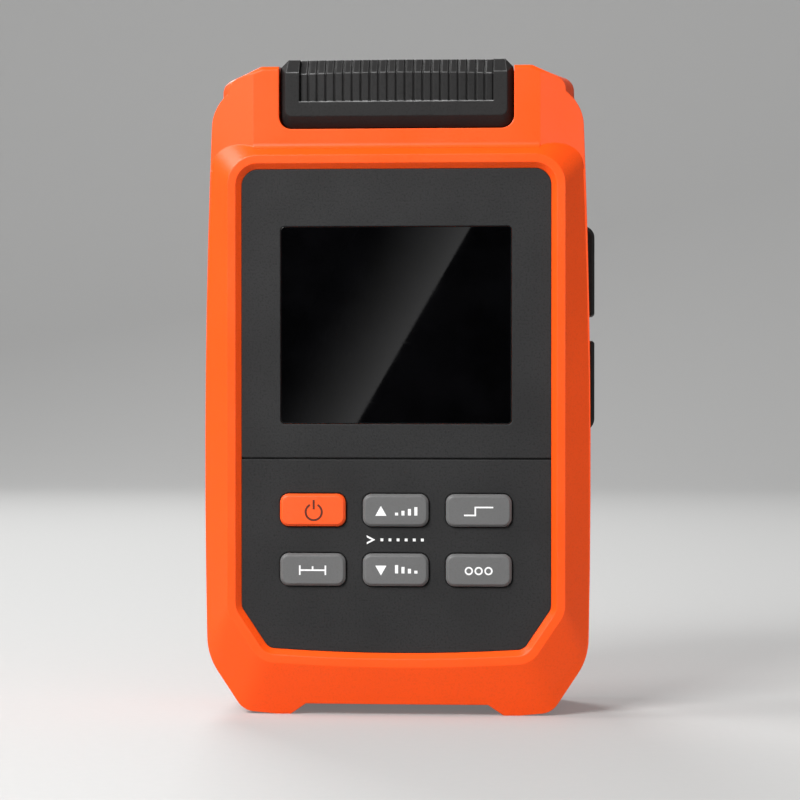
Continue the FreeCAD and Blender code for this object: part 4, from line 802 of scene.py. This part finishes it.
@dataclass
class Face:
    """The dark fascia with its window, display, keys and marks, which are drawn in millimetres."""

    finishes: Finishes
    grey_keys: tuple[str, ...] = ("up_key", "threshold_key", "reference_key", "down_key",
                                  "select_key")
    line: float = 0.28
    sign_line: float = 0.38
    sign_radius: float = 1.45
    sign_arc: Span = (118, 422)
    sign_steps: int = 30
    sign_centre: Point = (0.2, -0.35)
    sign_bar: float = 1.7
    sign_bar_rise: float = 0.98
    arrow: Point = (2.0, 1.75)
    arrow_centre: Point = (-2.6, -0.1)
    level_width: float = 0.55
    level_heights: tuple[float, ...] = (0.5, 0.83, 1.16, 1.49)
    level_start: float = 0.2
    level_pitch: float = 1.15
    rising_foot: float = -0.9
    falling_foot: float = -0.595
    step_outline: tuple[Point, ...] = (
        (-2.6, -0.99), (-0.46, -0.99), (-0.46, 0.43), (2.6, 0.43), (2.6, 0.71), (-0.74, 0.71),
        (-0.74, -0.71), (-2.6, -0.71))
    span_half: tuple[Point, ...] = (
        (2.16, -0.24), (2.16, -0.95), (2.44, -0.95), (2.44, 0.75), (2.16, 0.75), (2.16, 0.04),
        (0.14, 0.04), (0.14, 0.6))
    ring_radius: float = 0.6
    ring_steps: int = 20
    ring_places: tuple[float, ...] = (-1.75, 0.0, 1.75)
    ring_rise: float = -0.1
    dot: float = 0.5
    dot_start: float = -2.5
    dot_pitch: float = 1.45
    dots: int = 6
    chevron: tuple[Point, ...] = (
        (-5.2, 0.8), (-5.2, 0.45), (-4.3, 0.0), (-5.2, -0.45), (-5.2, -0.8), (-3.7, 0.0))

    def build(self) -> None:
        """Dress the fascia and print the marks."""
        dress(self.finishes.panel, "fascia")
        dress(self.finishes.window, "display_window")
        dress(self.finishes.display, "lcd_panel")
        dress(self.finishes.guide, "backlight")
        dress(self.finishes.silicone, "keypad_mat")
        dress(self.finishes.key_orange, "power_key")
        dress(self.finishes.key_grey, *self.grey_keys)
        self.print_marks()

    def print_marks(self) -> None:
        """Print one generic pictogram on each key and one on the fascia."""
        white, brown = self.finishes.ink_white, self.finishes.ink_brown
        sign = [arc_band(self.sign_radius, self.sign_line, self.sign_arc, self.sign_steps,
                         self.sign_centre),
                bar(self.sign_line, self.sign_bar, self.sign_centre[0], self.sign_bar_rise)]
        rising = self.levels(self.level_heights, self.rising_foot)
        falling = self.levels(self.level_heights[::-1], self.falling_foot)
        rings = [arc_band(self.ring_radius, self.line, (0, 360), self.ring_steps,
                          (place, self.ring_rise)) for place in self.ring_places]
        marks = (("power_key", brown, sign),
                 ("up_key", white, [triangle(self.arrow, self.arrow_centre), *rising]),
                 ("threshold_key", white, [self.step_outline]),
                 ("reference_key", white, [mirrored_outline(self.span_half)]),
                 ("down_key", white, [triangle(self.arrow, self.arrow_centre, up=False), *falling]),
                 ("select_key", white, rings))
        for key, ink, shapes in marks:
            low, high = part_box(key)
            centre = ((low.x + high.x) / 2, (low.z + high.z) / 2)
            PrintedMark(f"{key}_mark", f"{key}_cap", ink, centre, low.y, shapes).build()
        between = (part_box("up_key")[0].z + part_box("down_key")[1].z) / 2
        row = [bar(self.dot, self.dot, self.dot_start + self.dot_pitch * step, 0.0)
               for step in range(self.dots)]
        PrintedMark("fascia_mark", "case", white, (0.0, between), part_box("fascia")[0].y,
                    [*row, self.chevron]).build()

    def levels(self, heights: tuple[float, ...], foot: float) -> list[list[Point]]:
        """Draw a row of level bars of some heights that stand on one line."""
        return [bar(self.level_width, height, self.level_start + self.level_pitch * step,
                    foot + height / 2) for step, height in enumerate(heights)]


@dataclass
class TopCover:
    """The ribbed flip cover over the optical ports."""

    finishes: Finishes

    def build(self) -> None:
        """Dress the cover."""
        dress(self.finishes.cover, "flip_cover")


@dataclass
class Ports:
    """The two optical ports with their threads, nuts and detectors."""

    finishes: Finishes
    barrel_radius: float = 4.0 * MM
    barrel_height: float = 7.6 * MM
    rim: float = 0.5 * MM
    pitch: float = 0.75 * MM
    wire: float = 0.3 * MM
    key_width: float = 2.2 * MM
    key_depth: float = 3.0 * MM

    def build(self) -> None:
        """Dress the ports and cut their threads."""
        for side in ("left", "right"):
            dress(self.finishes.nickel, f"{side}_optical_port", f"{side}_port_nut",
                  f"{side}_detector")
        self.build_threads()

    def build_threads(self) -> None:
        """Make the thread on both barrels, open at the key slot that faces -Y."""
        feet = []
        for side in ("left", "right"):
            low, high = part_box(f"{side}_optical_port")
            feet.append(Vector(((low.x + high.x) / 2, (low.y + high.y) / 2,
                                high.z - self.barrel_height)))
        tree = Growth("port_threads")
        radius = tree.size("Barrel Radius", self.barrel_radius)
        height = tree.size("Thread Height", self.barrel_height - 2 * self.rim)
        wire = tree.size("Wire", self.wire)
        turns = tree.sum("DIVIDE", height, tree.size("Pitch", self.pitch))
        thread = tree.coil(turns, radius, radius, height, wire, THREAD_SIDES)
        width = tree.size("Key Width", self.key_width)
        depth = tree.size("Key Depth", self.key_depth)
        size = tree.vector(X=width, Y=radius, Z=depth)
        place = tree.vector(Y=tree.sum("MULTIPLY", radius, -1.0),
                            Z=tree.sum("SUBTRACT", height, tree.sum("MULTIPLY", depth, 0.5)))
        open_thread = tree.moved(tree.cut(thread, tree.box(size, place)), tree.vector(Z=self.rim))
        mesh = tree.grow(tree.on_points(open_thread), self.finishes.nickel, feet)
        add_piece("port_threads", mesh, self.finishes.nickel, "case")


@dataclass
class SideCovers:
    """The two flaps on the right side, with the sockets behind them."""

    finishes: Finishes

    def build(self) -> None:
        """Dress the flaps and the sockets."""
        dress(self.finishes.cover, "upper_port_cover", "lower_port_cover")
        dress(self.finishes.steel, "upper_cover_pin", "lower_cover_pin")
        dress(self.finishes.tin, "usb_socket")
        dress(self.finishes.black, "charging_jack")


@dataclass
class Electronics:
    """The main board and what it carries."""

    finishes: Finishes

    def build(self) -> None:
        """Dress the board."""
        dress(self.finishes.board, "main_board")
        dress(self.finishes.tin, "amplifier_shield")
        dress(self.finishes.black, "buzzer")


@dataclass
class Battery:
    """Three cells, their contact plates and the coil springs on three of them."""

    finishes: Finishes
    plate: float = 0.4 * MM
    wire: float = 0.28 * MM
    foot: float = 2.9 * MM
    top: float = 2.2 * MM
    turns: float = 3.5

    def build(self) -> None:
        """Dress the cells and wind the contacts."""
        dress(self.finishes.cell, "battery_1", "battery_2", "battery_3")
        dress(self.finishes.tin, "upper_end_contact")
        for contact, cell, rises in (("lower_end_contact", "battery_1", 1),
                                     ("lower_link_contact", "battery_3", 1),
                                     ("upper_link_contact", "battery_2", -1)):
            self.build_contact(contact, cell, rises)

    def build_contact(self, node: str, cell: str, rises: int) -> None:
        """Make one contact plate with a coil spring that presses on a cell.

        Args:
            node: the CAD node that it stands for.
            cell: the cell that the spring presses on.
            rises: 1 for a spring that points up, -1 for one that points down.
        """
        low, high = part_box(node)
        cell_low, cell_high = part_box(cell)
        outer = low.z if rises > 0 else high.z
        place = Vector(((cell_low.x + cell_high.x) / 2, (low.y + high.y) / 2,
                        outer + rises * (self.plate + self.wire)))
        tree = Growth(f"{node}_spring")
        wire = tree.size("Wire", self.wire)
        run = tree.size("Spring Height", high.z - low.z - self.plate - 2 * self.wire)
        coil = tree.coil(tree.size("Turns", self.turns), tree.size("Foot Radius", self.foot),
                         tree.size("Top Radius", self.top), run, wire, SPRING_SIDES)
        turn = (0.0, 0.0, 0.0) if rises > 0 else (math.pi, 0.0, 0.0)
        size = tree.size("Plate Size", (high.x - low.x, high.y - low.y, self.plate), "Vector")
        middle = ((low.x + high.x) / 2, (low.y + high.y) / 2, outer + rises * self.plate / 2)
        plate = tree.box(size, tree.size("Plate Place", middle, "Vector"))
        mesh = tree.grow(tree.joined(tree.on_points(coil, turn), plate), self.finishes.tin, [place])
        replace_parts(add_piece(f"{node}_piece", mesh, self.finishes.tin, "case"), node)


@dataclass
class Lamp:
    """A soft square lamp that looks at the object."""

    name: str
    place: Vector
    side: float
    power: float

    def build(self, aim: Vector) -> None:
        """Hang the lamp and turn it to aim."""
        light = bpy.data.lights.new(self.name, "AREA")
        light.shape = "SQUARE"
        light.size = self.side
        light.energy = self.power
        lamp = put(self.name, light)
        lamp.location = self.place
        lamp.rotation_euler = (aim - self.place).to_track_quat("-Z", "Y").to_euler()


LAMPS = (Lamp("key_lamp", Vector((-0.35, -0.58, 0.5)), side=0.35, power=8.6),
         Lamp("fill_lamp", Vector((0.8, -0.9, 0.2)), side=0.6, power=3.0),
         Lamp("top_lamp", Vector((-0.7, -0.08, 0.75)), side=0.4, power=5.0),
         Lamp("back_lamp", Vector((-0.25, 0.72, 0.62)), side=0.35, power=5.0))


@dataclass
class Studio:
    """A plain pale floor and backdrop, soft lamps, two cards and the camera."""

    floor_colour: Colour = (0.35, 0.35, 0.345)
    floor_glow: float = 0.15
    bounce_colour: Colour = (0.3, 0.3, 0.3)
    paper_gain: float = 1.03
    paper_gloss: Span = (0.7, 0.8)
    fibre: float = 2 * MM
    fibre_height: float = 0.01 * MM
    paper_edge: float = 0.1 * MM
    floor_half: float = 1.6
    floor_front: float = -1.2
    floor_back: float = 0.9
    sweep: float = 0.35
    sweep_steps: int = 16
    wall: float = 1.4
    aim: Vector = field(default_factory=lambda: Vector((-0.00033, 0.0, 0.05651)))
    azimuth: float = 4.0
    elevation: float = 0.63
    distance: float = 0.489
    lens: float = 119.3
    sensor: float = 36.0
    clip: Span = (0.01, 20.0)
    world_level: float = 0.18
    sky_level: float = 0.32
    velvet: float = 3 * MM
    velvet_dark: Colour = (0.001, 0.001, 0.001)
    velvet_pale: Colour = (0.002, 0.002, 0.002)
    velvet_gloss: Span = (0.9, 1.0)
    black_depth: float = -1.4
    black_corners: tuple[Point, ...] = ((-0.6, -0.3), (0.5, -0.3), (0.5, 0.5), (-0.6, 0.5))
    card_depth: float = -0.9
    glint_top: float = 13.4 * MM
    glint_foot: float = -7.0 * MM
    glint_width: float = 20.0 * MM
    glint_margin: float = 1.0 * MM
    glint_fade: float = 2.3
    glint_level: float = 1.4

    def build(self) -> None:
        """Set the whole studio up."""
        self.build_floor()
        self.build_lamps()
        self.build_cards()
        self.build_world()
        self.build_camera()

    def build_floor(self) -> None:
        """Make the floor and backdrop as one swept sheet."""
        profile = [(self.floor_front, 0.0)]
        for step in range(self.sweep_steps + 1):
            angle = math.pi / 2 * step / self.sweep_steps
            profile.append((self.floor_back + self.sweep * math.sin(angle),
                            self.sweep * (1 - math.cos(angle))))
        profile.append((self.floor_back + self.sweep, self.wall))
        corners = [(x, y, z) for y, z in profile for x in (-self.floor_half, self.floor_half)]
        faces = [(2 * i, 2 * i + 1, 2 * i + 3, 2 * i + 2) for i in range(len(profile) - 1)]
        mesh = bpy.data.meshes.new("studio_floor")
        mesh.from_pydata(corners, [], faces)
        for polygon in mesh.polygons:
            polygon.use_smooth = True
        graph = Graph("studio_paper")
        fibres = graph.noise(self.fibre, FINEST_DETAIL)
        seen = graph.seen()
        dull, pale = (graph.mix(fibres, colour, scaled(colour, self.paper_gain))
                      for colour in (self.bounce_colour, self.floor_colour))
        mesh.materials.append(graph.finish(
            Base_Color=graph.mix(seen, dull, pale),
            Emission_Color=WHITE,
            Emission_Strength=graph.sum("MULTIPLY", seen, self.floor_glow),
            Roughness=graph.spread(fibres, out=self.paper_gloss),
            Normal=graph.bump(fibres, self.fibre_height, graph.edges(self.paper_edge)[0])))
        floor = put("studio_floor", mesh)

    def build_lamps(self) -> None:
        """Hang the lamps: a soft key from the upper left, a weak fill, a top and a back light."""
        for lamp in LAMPS:
            lamp.build(self.aim)

    def build_cards(self) -> None:
        """Stage a black card behind the camera, and a light card that glints in the window."""
        graph = Graph("black_card")
        pile = graph.noise(self.velvet)
        black = graph.finish(Base_Color=graph.mix(pile, self.velvet_dark, self.velvet_pale),
                             Roughness=graph.spread(pile, out=self.velvet_gloss),
                             Specular_IOR_Level=0.0)
        self.hang_card("black_card", self.black_corners, self.black_depth, black)
        low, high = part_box("display_window")
        width, margin = self.glint_width, self.glint_margin
        lean = self.glint_top - self.glint_foot
        height = high.z - low.z
        foot = self.glint_foot - lean * margin / height
        top = self.glint_top + lean * margin / height
        spots = ((foot, low.z - margin), (top, high.z + margin), (top - width, high.z + margin),
                 (foot - width, low.z - margin))
        corners = [self.mirrored(Vector((u, low.y, v)), self.card_depth) for u, v in spots]
        graph = Graph("light_card")
        glow = graph.add("ShaderNodeAttribute", attribute_name="glow").outputs["Fac"]
        level = graph.sum("POWER", glow, self.glint_fade)
        lit = graph.finish(Base_Color=BLACK, Specular_IOR_Level=0.0,
                           Roughness=graph.spread(graph.noise(self.velvet), out=self.velvet_gloss),
                           Emission_Color=WHITE,
                           Emission_Strength=graph.sum("MULTIPLY", level, self.glint_level))
        card = self.hang_card("light_card", corners, self.card_depth, lit)
        shares = card.data.attributes.new("glow", "FLOAT", "POINT")
        bright, dark = 1.0, 0.0
        shares.data.foreach_set("value", (bright, bright, dark, dark))

    def mirrored(self, spot: Vector, depth: float) -> Point:
        """Find what the camera sees at a spot of a mirror that faces -Y.

        Args:
            spot: the spot on the mirror.
            depth: the plane across Y where the seen thing stands.

        Returns:
            Its place across and up.
        """
        sight = spot - self.eye()
        run = (spot.y - depth) / sight.y
        return spot.x + run * sight.x, spot.z + run * sight.z

    def hang_card(self, name: str, corners: Iterable[Point], depth: float,
                  material: bpy.types.Material) -> bpy.types.Object:
        """Hang a flat card that only reflections see, across the -Y side.

        Args:
            name: of the card.
            corners: its outline, across and up, in metres.
            depth: where it hangs along Y.
            material: its surface.

        Returns:
            The card.
        """
        mesh = bpy.data.meshes.new(name)
        spots = [(x, depth, z) for x, z in corners]
        mesh.from_pydata(spots, [], [range(len(spots))])
        mesh.materials.append(material)
        card = put(name, mesh)
        card.visible_camera = False
        card.visible_diffuse = False
        card.visible_shadow = False
        return card

    def build_world(self) -> None:
        """Give the world a plain grey that shows paler than it shines."""
        world = bpy.data.worlds.new("studio_world")
        world.use_nodes = True
        background = world.node_tree.nodes["Background"]
        background.inputs["Color"].default_value = (*WHITE, 1.0)
        sky = Canvas()
        sky.tree = world.node_tree
        extra = sky.sum("MULTIPLY", sky.seen(), self.sky_level - self.world_level)
        sky.feed(background.inputs["Strength"], sky.sum("ADD", extra, self.world_level))
        bpy.context.scene.world = world

    def eye(self) -> Vector:
        """Give the camera's place."""
        across, rise = math.radians(self.azimuth), math.radians(self.elevation)
        back = Vector((math.sin(across) * math.cos(rise), -math.cos(across) * math.cos(rise),
                       math.sin(rise)))
        return self.aim + back * self.distance

    def build_camera(self) -> None:
        """Make the camera and aim it."""
        data = bpy.data.cameras.new("camera")
        data.lens = self.lens
        data.sensor_width = self.sensor
        data.clip_start, data.clip_end = self.clip
        camera = put("camera", data)
        camera.location = self.eye()
        camera.rotation_euler = (self.aim - self.eye()).to_track_quat("-Z", "Y").to_euler()
        bpy.context.scene.camera = camera
        bpy.context.scene.view_settings.view_transform = "Standard"


def main() -> None:
    """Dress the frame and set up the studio."""
    logging.basicConfig(level=logging.INFO, format="%(name)s %(message)s")
    finishes = Finishes()
    for part in (Housing, Face, TopCover, Ports, SideCovers, Electronics, Battery):
        part(finishes).build()
    Studio().build()


if __name__ == "__main__":
    main()
